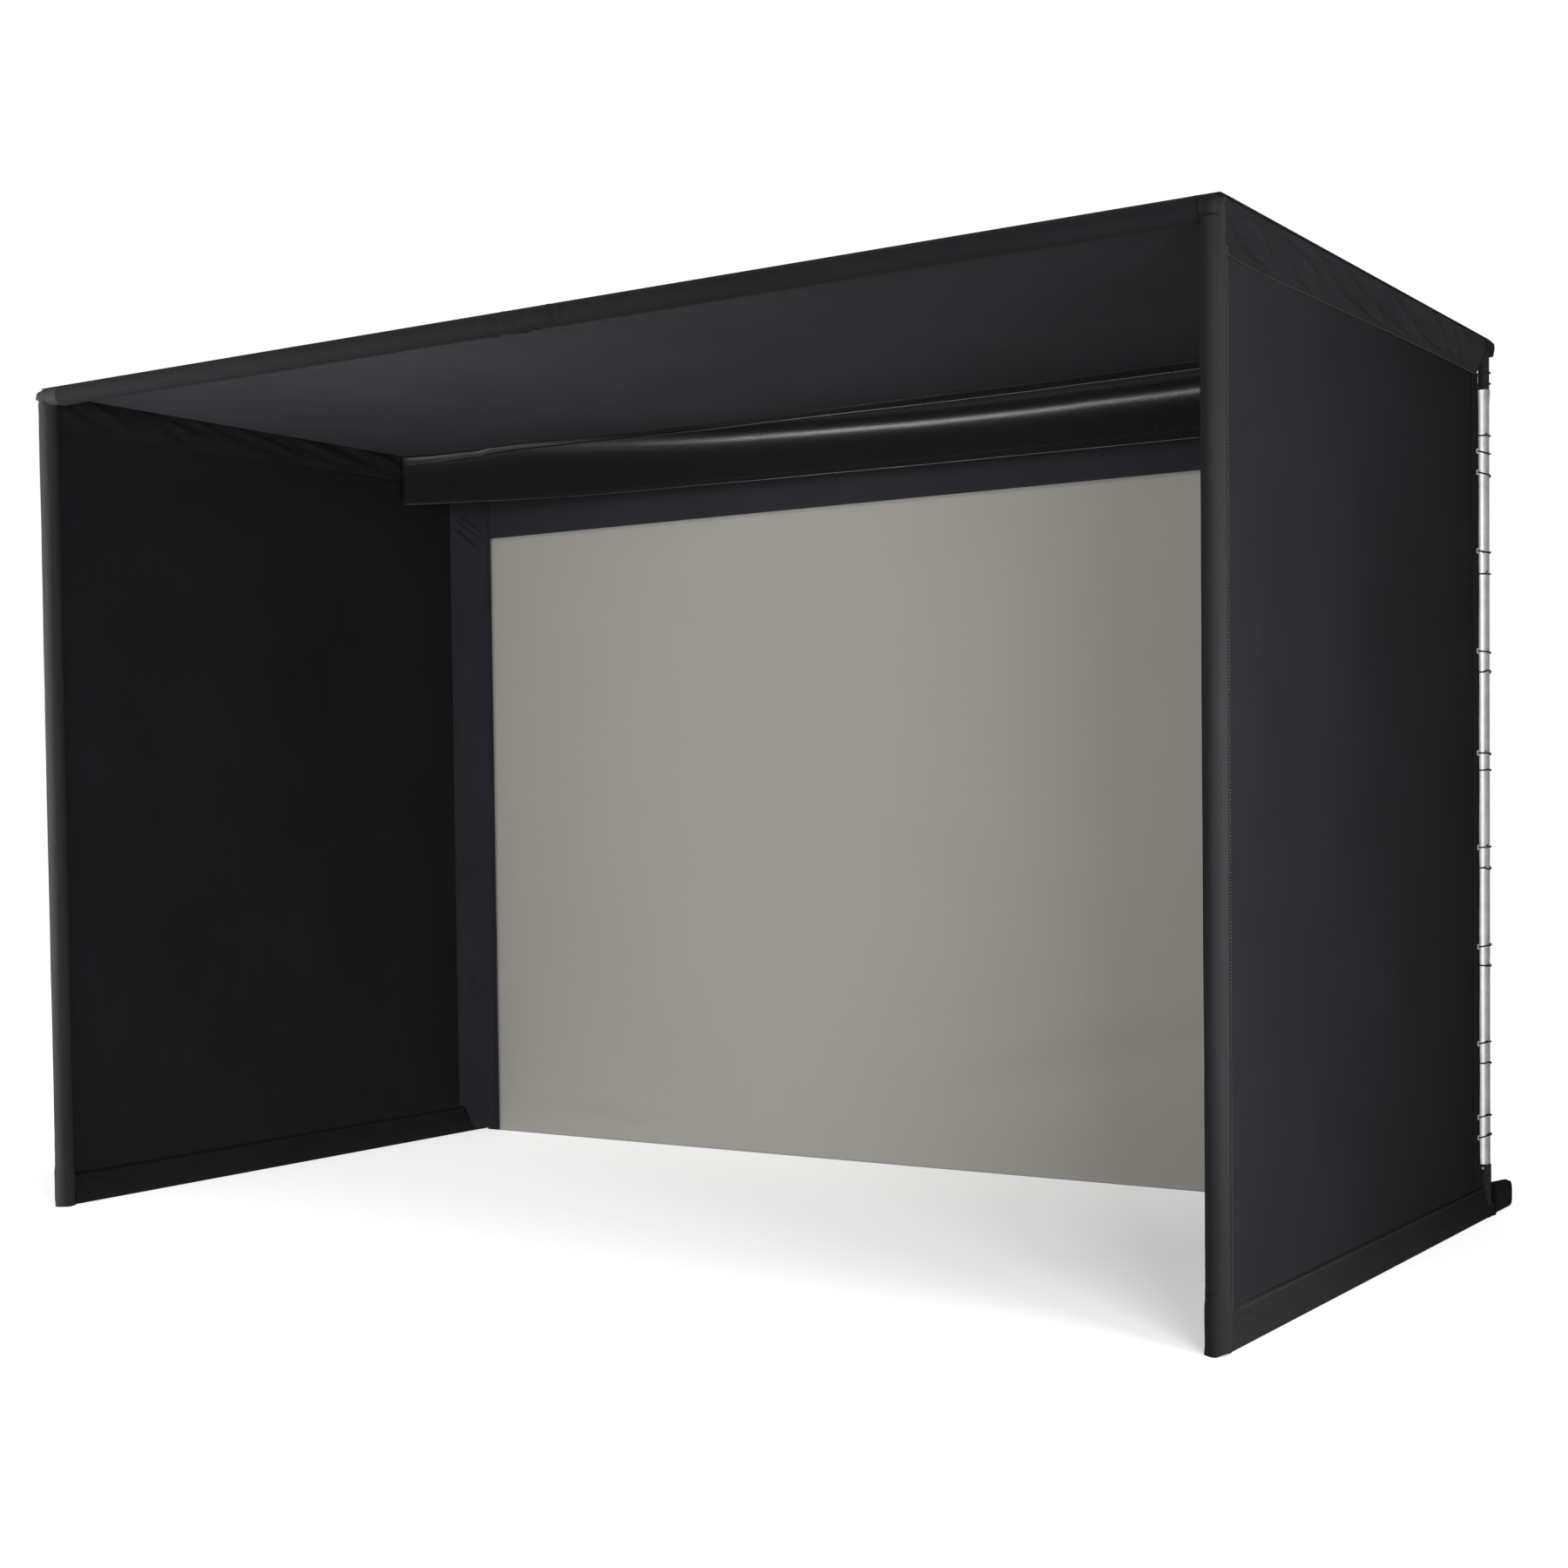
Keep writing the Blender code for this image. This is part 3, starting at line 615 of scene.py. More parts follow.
def make_boot(word, side):
    """A hem's front end, wrapped round the foot of the front upright; it rises to meet the hem."""
    def swell(angle, along):
        seed = side * 3.0
        radius = BOOT_RADIUS + 0.0010 * ripple(along * 18, angle, seed)
        radius += 0.0012 * (1 - smooth(along, 0.0, 0.02)) * sin(angle * 5 + seed)
        return radius - 0.0022 * smooth(along, 0.10, BOOT_HEIGHT - 0.002)

    tube = tube_place((side * AXIS, FRONT, 0.0), "Z", BOOT_HEIGHT, swell)

    def place(u, v):
        spot = tube(u, v)
        rise = 0.008 * smooth(side * cos(2 * pi * u), 0.1, 1.0)
        return spot + Vector((0.0, 0.0, rise * (1 - smooth(v, 0.0, 0.25))))

    cloth_piece(f"front_boot_cloth_{word}", 48, 30, place, (2 * pi * 0.029, BOOT_HEIGHT),
                SLEEVE_CLOTH, (f"front_boot_{word}",), wrap=True)


def make_band(word, side):
    """Pocket round a top side pipe, pulled into long diagonal creases."""
    folds = (((-1.03, 2.415), (-0.80, 2.345)), ((-0.95, 2.410), (-0.74, 2.338)),
             ((-0.73, 2.432), (-0.42, 2.385)), ((-0.64, 2.395), (-0.48, 2.338)),
             ((-0.52, 2.436), (-0.10, 2.350)), ((-0.36, 2.434), (0.03, 2.365)),
             ((-0.17, 2.420), (0.25, 2.342)), ((0.02, 2.434), (0.33, 2.370)),
             ((0.22, 2.398), (0.49, 2.345)), ((0.50, 2.434), (0.66, 2.335)),
             ((-0.20, 2.380), (-0.02, 2.340)), ((0.36, 2.425), (0.56, 2.350)))
    start, end = FRONT + 0.020, 0.790
    outline = rounded([(-0.0030, BAND_LOW), (-0.0200, TOP - 0.016), (-0.0205, HEIGHT - 0.0030),
                       (0.0212, HEIGHT - 0.0030), (0.0225, TOP - 0.010), (0.0062, BAND_LOW)], 0.010, 4)
    length = path_length(outline)

    def place(u, v):
        spot = path_point(outline, u)
        across, z = spot
        y = start + (end - start) * v
        outer = u > 0.58
        y -= 0.032 * (HEIGHT - z) / 0.108 * smooth(v, 0.88, 1.0)
        lift = sum(crease(y, z, *line, 0.0125 + 0.003 * sin(9 * line[0][0]), -0.0170)
                   for line in folds)
        lift += 0.0016 * ripple(y * 3.2, z * 20, side * 2.0)
        lower = smooth(z, BAND_LOW + 0.004, BAND_LOW + 0.035)
        upper = 1 - 0.85 * smooth(z, TOP + 0.008, HEIGHT - 0.004)
        across += lift * lower * upper * (1.0 if outer else -0.45)
        hug = 1 - smooth(z, BAND_LOW, BAND_LOW + 0.045)
        across += (wall_lift(y, BAND_LOW, side) + (-0.0045 if outer else 0.0013)) * hug
        z += 0.0022 * ripple(y * 2.4, 4.0, side) * (1 - smooth(z, BAND_LOW, BAND_LOW + 0.03))
        clear = sqrt(max(0.0, PIPE_CLEAR ** 2 - (z - TOP) ** 2))
        if outer:
            across = max(across, clear)
        elif abs(z - TOP) < PIPE_CLEAR:
            across = min(across, -clear)
        z -= band_drop(y) * (HEIGHT - z) / (HEIGHT - BAND_LOW)
        return Vector((side * (AXIS + across), y, z))

    # Lit and shaded copies of one cloth: the right band's lighter band cloth is painted light, the left
    # band's shell cloth painted shade.
    cloth_piece(f"top_band_cloth_{word}", 60, 420, place, (length, end - start),
                BAND if side > 0 else SHELL, (f"top_band_{word}",))
    seam = []
    for step in range(81):
        y = start + 0.012 + (end - 0.070 - start) * step / 80
        out = side * (AXIS + wall_lift(y, BAND_LOW, side) + 0.0028)
        seam.append(Vector((out, y, BAND_LOW - band_drop(y) + 0.0045)))
    piping = [spot + Vector((side * 0.0010, 0.0, -0.0040)) for spot in seam]
    new_piece(f"band_piping_{word}", rope_mesh(f"band_piping_{word}", piping, 0.0018), TAPE)
    stitches(f"band_stitches_{word}", [seam])


def band_drop(y):
    """The top bands' lower edge comes down towards the front."""
    return 0.015 * (1 - smooth(y, FRONT, 0.5))


def wall_lift(y, z, side):
    """How far a side wall's cloth stands outward from the pipe axes."""
    start = FRONT + 0.004
    front = exp(-max(0.0, y - start) / 0.055)
    lift = 0.0235 * front + (WALL_X - AXIS) * (1 - front)
    inner = smooth(y, start, start + 0.25) * (1 - smooth(y, WALL_REAR - 0.15, WALL_REAR))
    inner *= smooth(z, HEM_TOP, HEM_TOP + 0.25) * (1 - smooth(z, BAND_LOW - 0.25, BAND_LOW))
    lift += inner * (0.0045 * ripple(y * 1.1, z * 0.8, side * 4.0)
                     + 0.0012 * ripple(y * 2.4 + z, z * 1.3, side * 9.0))
    lift += inner * crease(y, z, (-1.00, 2.31), (-0.25, 1.55), 0.050, 0.0011)
    lift += inner * crease(y, z, (-0.98, 0.14), (-0.35, 0.85), 0.060, 0.0010)
    return lift + inner * crease(y, z, (0.70, 2.25), (0.20, 1.60), 0.050, 0.0010)


def wall_rear(z):
    """The Y of a side wall's rear edge; it leans forward just under the roof."""
    return WALL_REAR - 0.008 * smooth(z, 2.19, 2.33)


def make_wall(word, side):
    """Side wall: taut cloth that leaves the front sleeve at its outer tangent, with a rear hem."""
    low, high = HEM_TOP - 0.006, BAND_LOW + 0.006
    start = FRONT + 0.004
    def height(v):
        return low + (high - low) * v

    def place(u, v):
        z = height(v)
        y = start + (wall_rear(z) - start) * u
        scallop = 0.0022 * sin(z_phase(v)) * smooth(u, 0.93, 1.0)
        return Vector((side * (AXIS + wall_lift(y, z, side)), y + scallop, z))

    def hem_place(u, v):
        share = u * 2 if u < 0.5 else 2 - u * 2
        z = height(v)
        y = wall_rear(z) - WALL_HEM + (WALL_HEM + 0.0005) * share
        face = (0.0014 if u < 0.5 else -0.0014) * (1 - share ** 8)
        spot = AXIS + wall_lift(min(y, WALL_REAR), z, side) + face
        return Vector((side * spot, y + 0.0022 * sin(z_phase(v)) * share, z))

    def tape_place(u, v):
        z, y = height(v), start + 0.012 + 0.022 * u
        proud = 0.0012 + 0.0028 * sin(pi * u) ** 0.6
        proud -= 0.0010 * exp(-((u - 0.5) / 0.12) ** 2)
        return Vector((side * (AXIS + wall_lift(y, z, side) + proud), y, z))

    wall = f"side_wall_cloth_{word}"
    cloth_piece(wall, 90, 150, place, (WALL_REAR - start, high - low), SHELL, (f"side_wall_{word}",))
    cloth_piece(f"wall_rear_hem_{word}", 24, 150, hem_place, (2 * WALL_HEM + 0.001, high - low), SHELL,
                thickness=0.0008)
    cloth_piece(f"wall_front_tape_{word}", 14, 150, tape_place, (0.023, high - low), BAND,
                thickness=0.0008)
    lines = []
    for inset, behind in ((0.018, False), (0.028, False), (0.054, True), (0.008, True)):
        for face in (0.0024 if behind else 0.0044, -0.0024):
            line = []
            for step in range(61):
                z = height(step / 60)
                y = wall_rear(z) - inset if behind else start + inset
                line.append(Vector((side * (AXIS + wall_lift(y, z, side) + face), y, z)))
            lines.append(line)
    stitches(f"wall_stitches_{word}", lines, 0.0005)


def z_phase(v):
    """The wave of a wall's rear edge between its loops."""
    return 2 * pi * v * 8.5


def make_hem(word, side):
    """Pocket round a bottom side pipe. Cut open at the rear upright, it runs on behind as a foot."""
    start, end = FRONT + 0.024, FOOT_END - 0.028
    outline = rounded([(-0.0018, HEM_TOP), (-0.0188, 0.036), (-0.0200, 0.0006), (0.0205, 0.0006),
                       (0.0222, 0.034), (0.0064, HEM_TOP)], 0.009, 4)
    length = path_length(outline)

    def place(u, v):
        across, z = path_point(outline, u)
        y = start + (end - start) * v
        notch = 0.50 * smooth(y, REAR - 0.036, REAR - 0.026)
        notch += 0.32 * smooth(y, REAR + 0.012, REAR + 0.018)
        notch *= 1 - smooth(y, REAR + 0.034, REAR + 0.042)
        nose = sqrt(1 - min(1.0, max(0.0, (y - end + 0.020) / 0.020)) ** 2)
        foot = smooth(y, REAR + 0.030, REAR + 0.050)
        level = copysign(0.0195 * max(0.0, 1 - (2 * z / HEM_TOP - 1) ** 4) ** 0.25, u - 0.58)
        across = across * (1 - foot) + level * foot
        z *= (1 - notch) * (0.85 + 0.15 * nose) * (1 - 0.13 * smooth(y, REAR + 0.04, end))
        across *= nose
        lift = 0.0016 * ripple(y * 3.0, z * 16, side * 5.0)
        lift += 0.0010 * ripple(y * 11, z * 25, side)
        lift += crease(y, z, (-0.98, 0.075), (-0.80, 0.020), 0.012, 0.003)
        lift += crease(y, z, (0.55, 0.080), (0.72, 0.030), 0.012, 0.003)
        lift += crease(y, z, (-1.006, 0.094), (-0.972, 0.018), 0.0045, -0.0065)
        edge = smooth(z, 0.002, 0.015) * (1 - smooth(z, HEM_TOP * 0.85, HEM_TOP))
        across += lift * edge * nose * (1 if u > 0.5 else -1)
        if z > HEM_TOP * 0.8:
            z += 0.0016 * ripple(y * 2.7, 7.0, side)
        return Vector((side * (AXIS + across), y, max(0.0, z)))

    cloth_piece(f"bottom_hem_cloth_{word}", 48, 360, place, (length, end - start), HEM,
                (f"bottom_hem_{word}",))
    line = [Vector((side * (AXIS + 0.0098), start + (REAR - 0.06 - start) * step / 60, HEM_TOP - 0.006))
            for step in range(61)]
    stitches(f"hem_stitches_{word}", [line])


def roof_sag(x, y):
    """How far the roof's cloth hangs below the tops of the pipes. It dips beside them."""
    inner = smooth(y, FRONT, FRONT + 0.12) * (1 - smooth(y, REAR - 0.12, REAR))
    middle = inner * (1 - smooth(abs(x), AXIS - 0.18, AXIS - 0.02))
    sag = middle * 0.010 * cos(pi / 2 * min(1.0, abs(x) / AXIS))
    sag += middle * (0.0030 * ripple(x * 1.2, y * 1.6) + 0.0012 * ripple(x * 4.5, y * 2.5, 6.0))
    for side in (-1, 1):
        for line in (((1.78, -0.98), (1.25, -0.35)), ((1.70, -1.00), (0.85, -0.72)),
                     ((1.80, -0.85), (1.60, -0.20)), ((1.78, 0.78), (1.30, 0.25))):
            begin, stop = ((side * spot[0], spot[1]) for spot in line)
            sag += middle * crease(x, y, begin, stop, 0.030, 0.0030)
    groove = smooth(abs(x), AXIS - 0.50, AXIS - 0.04) * (1 - smooth(abs(x), AXIS - 0.034, AXIS - 0.021))
    return max(0.0, sag) + 0.025 * inner * groove


def make_roof():
    """Roof cloth from the front top sleeve, over the pipes, to its rounded rear edge."""
    half = AXIS + 0.0205
    bend = 0.0272
    rear = rounded([(REAR - 0.02, HEIGHT - 0.0006), (REAR + 0.037, HEIGHT - 0.0055),
                    (REAR + 0.034, TOP + 0.006), (REAR + 0.020, TOP - 0.0140)], 0.010, 5)
    front_drop = [Vector((FRONT - bend * sin(radians(angle)),
                          TOP + bend * cos(radians(angle)))) for angle in (16, 8, 0)]
    middle = [Vector((FRONT + (REAR - FRONT) * step / 40, HEIGHT - 0.0006)) for step in range(1, 40)]
    path = front_drop + middle + rear
    length = path_length(path)

    def place(u, v):
        y, z = path_point(path, v)
        x = u * 2 - 1
        x = half * (1.3 * x - 0.3 * x ** 3)
        z -= roof_sag(x, y)
        if z < TOP and y > REAR:
            y += 0.003 * ripple(x * 5, 2.0)
        return Vector((x, y, z))

    # The roof takes the lighter ceiling cloth: painted light on its underside.
    cloth_piece("roof_cloth", 280, 180, place, (2 * half, length), CEILING, ("roof_panel", "roof_rear_flap"))


def make_baffle():
    """Satin flap under a ceiling seam. It coves back to the right and runs askew at its left end.

    Its head is sewn to the roof and stays with it. The rest swings.
    """
    half = AXIS - 0.024
    seam_z = HEIGHT - 0.0030
    low_y, hinge_y = (corner[1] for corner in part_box("ceiling_baffle"))

    def surface(u, v):
        x = (u * 2 - 1) * half
        share = (x + half) / (2 * half)
        cove = 0.012 + 0.090 * smooth(x, -1.55, 0.55)
        fold = low_y + 0.132 - 0.235 * exp(-(x + half) / 0.50)
        drop = 0.192 + 0.024 * share
        y = fold - cove * (1 - v) ** 6
        y += 0.0040 * ripple(x * 1.1, v * 0.8) * v + 0.0008 * ripple(x * 4.5, v * 2.5, 4.0) * v
        top = seam_z - 0.0012 - roof_sag(x, fold - cove)
        z = top + (seam_z - drop - top) * v + 0.0020 * ripple(x * 2.2, 6.0) * v * v
        return Vector((x, y, z))

    def cut(u):
        """Where the head ends: low enough for the swinging part to clear the roof."""
        return 0.010 + 0.72 * (hinge_y - surface(u, 0.0).y)

    def place(u, v):
        return surface(u, cut(u) + (1 - cut(u)) * v)

    def head_place(u, v):
        return surface(u, cut(u) * v)

    cloth_piece("baffle_head_cloth", 240, 10, head_place, (2 * half, 0.030), BAFFLE)
    cloth_piece("ceiling_baffle_cloth", 240, 44, place, (2 * half, 0.225), BAFFLE, ("ceiling_baffle",),
                "ceiling_baffle")
    for name, body, first, change in (("baffle_stitches", "ceiling_baffle", 0.97, -0.14),
                                      ("baffle_head_stitches", "frame", 0.015, 0.0)):
        proud = Vector((0, -0.0012, -0.0012 * (change == 0)))
        line = [surface(step / 120, first + change * step / 120) + proud for step in range(121)]
        stitches(name, [line], 0.0007, body)


def screen_lift(x, z):
    """How far the screen's face stands forward of its plane."""
    lift = 0.0030 * ripple(x * 0.7, z * 0.7, 2.0) + 0.0012 * ripple(x * 2.0, z * 1.5, 5.0)
    lift += crease(x, z, (0.10, 0.22), (1.75, 0.62), 0.085, 0.0075)
    lift += crease(x, z, (-1.60, 0.10), (-0.90, 0.06), 0.030, 0.004)
    return lift


def make_screen():
    edge = TAUPE_HALF

    def place(u, v):
        x, z = (u * 2 - 1) * edge, SCREEN_LOW + (SCREEN_TOP - SCREEN_LOW) * v
        inner = smooth(edge - abs(x), 0.0, 0.25) * smooth(SCREEN_TOP - z, 0.0, 0.25)
        return Vector((x, SCREEN_Y - screen_lift(x, z) * inner, z))

    cloth_piece("impact_screen_cloth", 180, 110, place, (2 * edge, SCREEN_TOP - SCREEN_LOW), SCREEN,
                ("impact_screen",),
                thickness=0.003)

    def top_place(u, v):
        x, z = (u * 2 - 1) * SCREEN_HALF, SCREEN_TOP - 0.004 + (BORDER_TOP - SCREEN_TOP + 0.004) * v
        wave = 0.0020 * ripple(x * 1.5, z * 4) * smooth(z, SCREEN_TOP, 2.3)
        return Vector((x, SCREEN_Y - 0.0018 - wave, z))

    cloth_piece("screen_top_border_cloth", 160, 20, top_place,
                (2 * SCREEN_HALF, BORDER_TOP - SCREEN_TOP + 0.004), BORDER, ("screen_top_border",),
                thickness=0.0016)
    line = [Vector((-SCREEN_HALF + 2 * SCREEN_HALF * step / 100, SCREEN_Y - 0.0040, 2.245))
            for step in range(101)]
    stitches("border_stitches", [line], 0.0007)
    for word, side in SIDES.items():
        def side_place(u, v, side=side):
            x = side * (TAUPE_HALF - 0.004 + (SCREEN_HALF - TAUPE_HALF + 0.004) * u)
            z = SCREEN_LOW + (SCREEN_TOP - SCREEN_LOW) * v
            return Vector((x, SCREEN_Y - 0.0018 - 0.0015 * ripple(x * 8, z * 3, side), z))

        cloth_piece(f"screen_side_border_cloth_{word}", 8, 140, side_place,
                    (SCREEN_HALF - TAUPE_HALF + 0.004, SCREEN_TOP), BORDER, (f"screen_side_border_{word}",),
                    thickness=0.0016)


def make_side_flap(word, side):
    """Strip between wall and screen, gathered into folds at the top and wrinkled near the floor."""
    top_folds = (((0.030, 2.232), (0.122, 2.168)), ((0.012, 2.222), (0.116, 2.140)),
                 ((0.004, 2.196), (0.108, 2.105)))
    low_folds = (((0.028, 0.540), (0.082, 0.625)), ((0.045, 0.510), (0.105, 0.600)),
                 ((0.060, 0.465), (0.124, 0.560)), ((0.030, 0.190), (0.124, 0.262)),
                 ((0.028, 0.150), (0.118, 0.214)), ((0.035, 0.112), (0.124, 0.166)),
                 ((0.050, 0.032), (0.120, 0.092)))
    broad_folds = (((0.020, 0.80), (0.118, 1.00)), ((0.028, 1.06), (0.124, 1.24)),
                   ((0.014, 1.36), (0.110, 1.56)), ((0.030, 1.66), (0.124, 1.84)),
                   ((0.060, 1.92), (0.010, 2.06)))
    low, high = (Vector(corner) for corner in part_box(f"side_flap_{word}"))
    sewn = Vector((side * max(abs(low.x), abs(high.x)), low.y))
    free = Vector((side * min(abs(low.x), abs(high.x)), high.y - 0.002))
    run = free - sewn
    across = run.normalized()
    out = Vector((-across.y, across.x)) * (-1 if side > 0 else 1)
    width = run.length
    lap = abs(free.x) - TAUPE_HALF + 0.002

    def place(u, v):
        s, z = u * (width + lap), 0.012 + (high.z - 0.012) * v
        lift = creases(s, z, top_folds, 0.0085, -0.0075)
        lift += creases(s, z, low_folds, 0.0080, -0.0042)
        lift += creases(s, z, broad_folds, 0.0240, -0.0034)
        lift += 0.0040 * ripple(s * 10, z * 2.0, side * 6.0)
        lift += 0.005 * sin(pi * min(1.0, s / width))
        lift *= smooth(s, 0.0, 0.014) * (1 - 0.9 * smooth(s, width - 0.012, width + lap))
        spot = sewn + across * min(s, width) + out * lift
        if s > width:
            ragged = 1 + 0.28 * ripple(z * 3.6, 4.0, side)
            spot += Vector((-side * (s - width) * ragged, 0.0))
        notch = 0.086 * (1 - smooth(s, 0.012, 0.058))
        return Vector((spot.x, spot.y, max(z, 0.012 + notch) if v < 0.5 else z))

    cloth_piece(f"side_flap_cloth_{word}", 34, 420, place, (width + lap, high.z), FLAP,
                (f"side_flap_{word}",), body=f"side_flap_{word}")


def make_pipe(node, widened=""):
    """A steel tube, widened at one end if asked. A foot's tube stops short inside its sleeve."""
    low, high = (Vector(corner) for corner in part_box(node))
    size = high - low
    axis = max(range(3), key=lambda index: size[index])
    run = Vector([1.0 if index == axis else 0.0 for index in range(3)])
    start = (low + high) / 2 - run * size[axis] / 2
    length = size[axis] - 0.050 * ("foot" in node)

    def face(inset):
        belled, plain = BELL - inset, PIPE - inset
        upper = [(belled, length), (belled, length - 0.012), (plain, length - 0.040)]
        lower = [(plain, 0.040), (belled, 0.012), (belled, 0.0)]
        return ((upper if widened == "end" else [(plain, length)])
                + (lower if widened == "start" else [(plain, 0.0)]))

    mesh = stand(lathe_mesh(node, face(0.0) + face(PIPE_WALL)[::-1]), start, run)
    new_piece(f"{node}_tube", mesh, STEEL, (node,))


def make_rear_frame(word, side):
    """The bare pipes of one side, and the spigots of its top corner fitting."""
    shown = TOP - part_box(f"rear_upright_pipe_{word}")[1][2]
    legs = []
    for run in ((0, 0, -1), (-side, 0, 0)):
        leg = [(0.0150, 0.0150), (0.0150, shown + 0.004), (0.0131, shown + 0.004), (0.0131, 0.0150)]
        legs.append(stand(lathe_mesh("leg", leg), (side * AXIS, REAR, TOP), run))
    joined_piece(f"rear_corner_legs_{word}", legs, COAT)
    make_pipe(f"rear_upright_pipe_{word}", "end")
    make_pipe(f"rear_top_pipe_{word}", "end" if side > 0 else "start")
    make_pipe(f"rear_bottom_pipe_{word}")
    make_pipe(f"rear_foot_pipe_{word}")


def paint_nodes():
    """Gives the frame's own solids that stay in sight their materials."""
    for node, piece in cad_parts.items():
        for kind, material in (("pipe", STEEL), ("fitting", COAT), ("coupler", COAT), ("foam", FOAM),
                               ("screw", NICKEL)):
            if kind in node and not piece.hide_render:
                piece.data.materials.clear()
                piece.data.materials.append(material)


def belt(pipe_centre, turn_centre, lift):
    """A closed loop round a pipe and a grommet, as points; lift(spot, share, on_pipe) places each."""
    reach = turn_centre - pipe_centre
    heading = atan2(reach.y, reach.x)
    spread = acos((WRAP - TURN) / reach.length)
    points = []
    for middle, radius, first, last, count in (
            (pipe_centre, WRAP, heading + spread, heading + 2 * pi - spread, 22),
            (turn_centre, TURN, heading - spread, heading + spread, 9)):
        for step in range(count):
            angle = first + (last - first) * step / (count - 1)
            spot = middle + radius * Vector((cos(angle), sin(angle)))
            points.append(lift(spot, step / (count - 1), radius == WRAP))
    return points


def ring_mesh(spot, axis):
    """A grommet's ring."""
    profile = [(0.0062 + 0.0016 * across, 0.0016 * 0.8 * over) for across, over in turns(8)]
    return stand(lathe_mesh("ring", profile, 24), spot, axis)


def tail_mesh(spot, side, seed):
    """The loose end of a loop's cord."""
    lean = sin(seed)
    points = [spot + Vector((side * 0.0080 * share, -0.0016 * share, (0.006 + 0.003 * lean) * share ** 1.4))
              for share in (0.0, 0.25, 0.5, 0.75, 1.0)]
    return rope_mesh("tail", points, 0.0015)


def make_side_loops(word, side):
    """Elastic loops from a wall and the screen's edge to the rear upright."""
    upright = Vector((side * AXIS, REAR))
    wall, screen, rings, tails = [], [], [], []
    for number, height in enumerate(LOOP_HEIGHTS):
        tilt = 0.004 * sin(number * 2.4)

        def lift(spot, share, on_pipe):
            swing = sin(2 * pi * share) * tilt if on_pipe else 0.0
            return Vector((spot.x, spot.y, height + swing))

        if number % 2 == 1 or number in (2, 16):
            turn = Vector((side * WALL_X, WALL_REAR - GROMMET_INSET))
            wall.append(belt(upright, turn, lift))
            rings += [ring_mesh(Vector((side * (WALL_X + face), turn.y - TURN, height)), (1, 0, 0))
                      for face in (-0.0022, 0.0022)]
        else:
            turn = Vector((side * (SCREEN_HALF - 0.010), SCREEN_Y))
            screen.append(belt(upright, turn, lift))
            rings.append(ring_mesh(Vector((turn.x - side * TURN, SCREEN_Y - 0.0028, height)), (0, 1, 0)))
        if number % 3 != 2:
            lean = 0.35 + 0.25 * sin(number * 1.7)
            face = Vector((side * sin(lean), -cos(lean), 0.0)) * WRAP
            tails.append(tail_mesh(Vector((*upright, height)) + face, side, number * 3.7))
    for height in (2.352, 2.322):
        def lift(spot, share, on_pipe):
            return Vector((spot.x, spot.y, height - 0.022 * (not on_pipe)))

        wall.append(belt(upright, Vector((side * WALL_X, wall_rear(height) - GROMMET_INSET)), lift))
    loops_piece(f"wall_loops_{word}", wall, (f"wall_bungee_{word}",))
    loops_piece(f"screen_side_loops_{word}", screen, (f"screen_side_bungee_{word}",))
    joined_piece(f"loop_tails_{word}", tails, ELASTIC)
    joined_piece(f"grommets_{word}", rings, NICKEL)


def make_top_loops(word, side):
    """Elastic loops from one half of the screen's top edge to the rear top pipe."""
    turn = Vector((SCREEN_Y, BORDER_TOP - 0.005))
    top, rings = [], []
    for step in range(8):
        x = side * (0.15 + 0.22 * step)
        top.append(belt(Vector((REAR, TOP)), turn, lambda spot, share, on_pipe: Vector((x, *spot))))
        rings.append(ring_mesh(Vector((x, SCREEN_Y - 0.0028, turn.y - TURN)), (0, 1, 0)))
    loops_piece(f"screen_top_loops_{word}", top, (f"screen_top_bungee_{word}",))
    joined_piece(f"top_grommets_{word}", rings, NICKEL)


# ---- stage

def area_light(name, place, target, size, power):
    data = bpy.data.lights.new(name, "AREA")
    data.shape = "RECTANGLE"
    data.size, data.size_y = size
    data.energy = power
    light = placed(name, data)
    light.location = place
    light.rotation_euler = (Vector(target) - Vector(place)).to_track_quat("-Z", "Y").to_euler()
    light.visible_camera = False
    return light


def light_pieces(light, names, skip=False, unshaded=False):
    """Keeps a light to some pieces or off them, and if asked lets only those pieces shade it."""
    pieces = bpy.data.collections.new(f"{light.name}_pieces")
    for name in names:
        pieces.objects.link(bpy.data.objects[name])
    for member in pieces.collection_objects:
        member.light_linking.link_state = "EXCLUDE" if skip else "INCLUDE"
    light.light_linking.receiver_collection = pieces
    if unshaded:
        light.light_linking.blocker_collection = pieces


def make_floor():
    """A white floor that glows though it is no lamp, a painted light. Its glow grows with the distance from
    the front right corner, so the floor near the enclosure is painted in soft shade.
    """
    shape = bmesh.new()
    bmesh.ops.create_grid(shape, x_segments=1, y_segments=1, size=40.0)
    floor = placed("floor", taken(shape, "floor"))
    floor.location = (1.9, -0.9, 0.0)
    floor.visible_glossy = False
    paint = Shader("floor_paint_and_painted_glow", (0.80, 0.80, 0.80), 0.9)
    paint.set("Specular IOR Level", 0.0)
    paint.set("Emission Color", (1.0, 1.0, 1.0, 1.0))
    place = paint.add("ShaderNodeVectorMath", operation="LENGTH")
    paint.link(paint.coordinates("Object"), place.inputs[0])
    # Painted light: the emission is weaker near the enclosure, a painted shadow round it.
    glow = paint.ramp(place.outputs["Value"], 0.36, 0.88, 1.0, 6.5)
    paint.link(glow, paint.shader.inputs["Emission Strength"])
    floor.data.materials.append(paint.material)


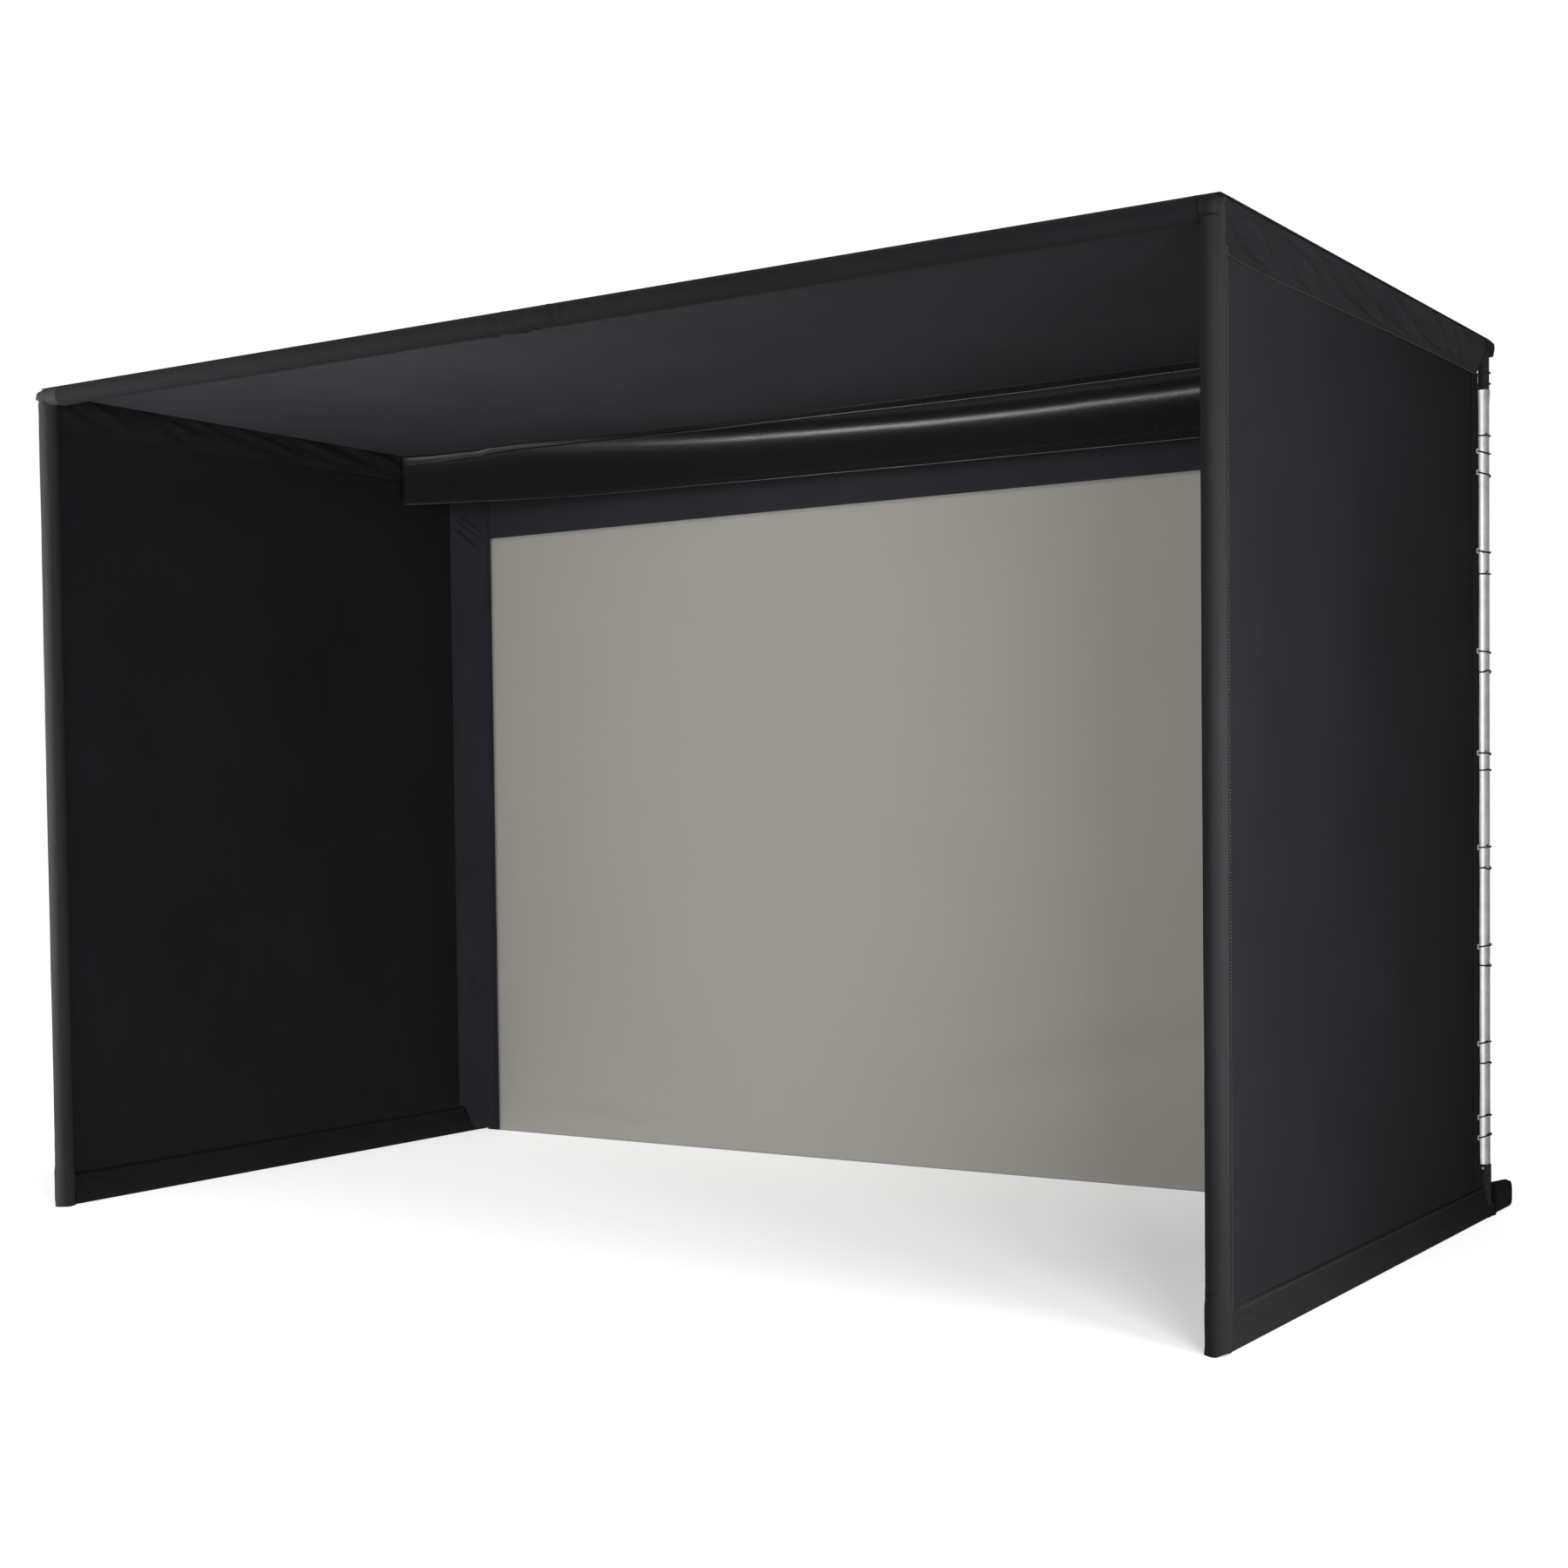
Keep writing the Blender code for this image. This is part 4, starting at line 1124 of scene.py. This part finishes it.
def make_world():
    """A white world that the camera sees at full strength and the surfaces far less."""
    world = bpy.data.worlds.new("studio")
    bpy.context.scene.world = world
    world.use_nodes = True
    nodes, links = world.node_tree.nodes, world.node_tree.links
    seen = nodes.new("ShaderNodeLightPath")
    for output, low, high in (("Is Glossy Ray", 0.20, 0.025), ("Is Camera Ray", None, 1.0)):
        choice = nodes.new("ShaderNodeMapRange")
        choice.inputs["To Max"].default_value = high
        if low is None:
            links.new(last, choice.inputs["To Min"])
        else:
            choice.inputs["To Min"].default_value = low
        links.new(seen.outputs[output], choice.inputs["Value"])
        last = choice.outputs["Result"]
    links.new(last, nodes["Background"].inputs["Strength"])
    nodes["Background"].inputs["Color"].default_value = (1.0, 1.0, 1.0, 1.0)


def make_lights():
    """Soft lights, most of them kept to a few pieces so that each takes the photograph's shade."""
    key = area_light("key", (5.2, -5.0, 2.0), (0.0, 0.0, 1.2), (2.0, 2.0), 320)
    front = area_light("front", (-0.6, -8.5, 1.7), (0.0, 0.5, 1.3), (4.0, 2.6), 320)
    area_light("above", (0.0, -0.5, 7.0), (0.0, 0.0, 0.0), (8.0, 8.0), 200)
    side = area_light("side", (6.0, -4.0, 1.2), (5.23, -4.64, 1.2), (1.5, 2.4), 2800)
    left = area_light("left", (-3.6, -3.1, 1.5), (-1.8, -1.0, 1.2), (1.0, 1.4), 270)
    bare = area_light("bare_pipes", (-0.6, -6.0, 1.3), (AXIS, REAR, 1.3), (6.0, 3.0), 460)
    edge = area_light("edge", (3.75, -1.40, 1.15), (AXIS, FRONT, 1.15), (0.6, 0.8), 82)
    under = area_light("under", (-1.3, -1.1, 0.9), (-1.3, -1.1, 3.0), (1.7, 0.3), 45)
    strip = area_light("strip", (-0.3, -3.1, 0.04), (-0.3, -3.1, 3.0), (2.6, 0.9), 33)
    far_strip = area_light("far_strip", (-3.9, -3.1, 0.04), (-3.9, -3.1, 3.0), (4.6, 0.9), 140)
    shade = area_light("floor_side", (6.2, -2.3, 2.6), (0.5, -0.3, 0.0), (2.4, 2.4), 250)
    for light in (front, key):
        light.visible_glossy = False
    pipes = [f"rear_upright_pipe_{word}_tube" for word in SIDES]
    satin = ["ceiling_baffle_cloth", "baffle_head_cloth"]
    wall = ["side_wall_cloth_right", "wall_rear_hem_right", "wall_stitches_right"]
    post = ["front_upright_cloth_right", "front_boot_cloth_right", "corner_cap_cloth_right"]
    light_pieces(key, pipes + wall + post + ["bottom_hem_cloth_right"], skip=True)
    light_pieces(front, post, skip=True)
    light_pieces(side, wall + ["hem_stitches_right", "bottom_hem_cloth_right"])
    light_pieces(edge, post, unshaded=True)
    light_pieces(left, ["front_upright_cloth_left", "front_boot_cloth_left", "corner_cap_cloth_left",
                        "front_top_sleeve_cloth"])
    light_pieces(bare, pipes, unshaded=True)
    light_pieces(under, ["roof_cloth"])
    light_pieces(strip, satin, unshaded=True)
    light_pieces(far_strip, satin, unshaded=True)
    light_pieces(shade, ["floor"])
    bpy.context.scene.view_settings.view_transform = "Standard"


def on_both_sides(make):
    for word, side in SIDES.items():
        make(word, side)


place_camera()
make_front_top()
for make in (make_front_upright, make_cap, make_boot, make_band, make_wall, make_hem):
    on_both_sides(make)
make_roof()
make_baffle()
make_screen()
on_both_sides(make_side_flap)
on_both_sides(make_rear_frame)
paint_nodes()
for each_word, each_side in SIDES.items():
    make_side_loops(each_word, each_side)
    make_top_loops(each_word, each_side)
make_floor()
make_world()
make_lights()
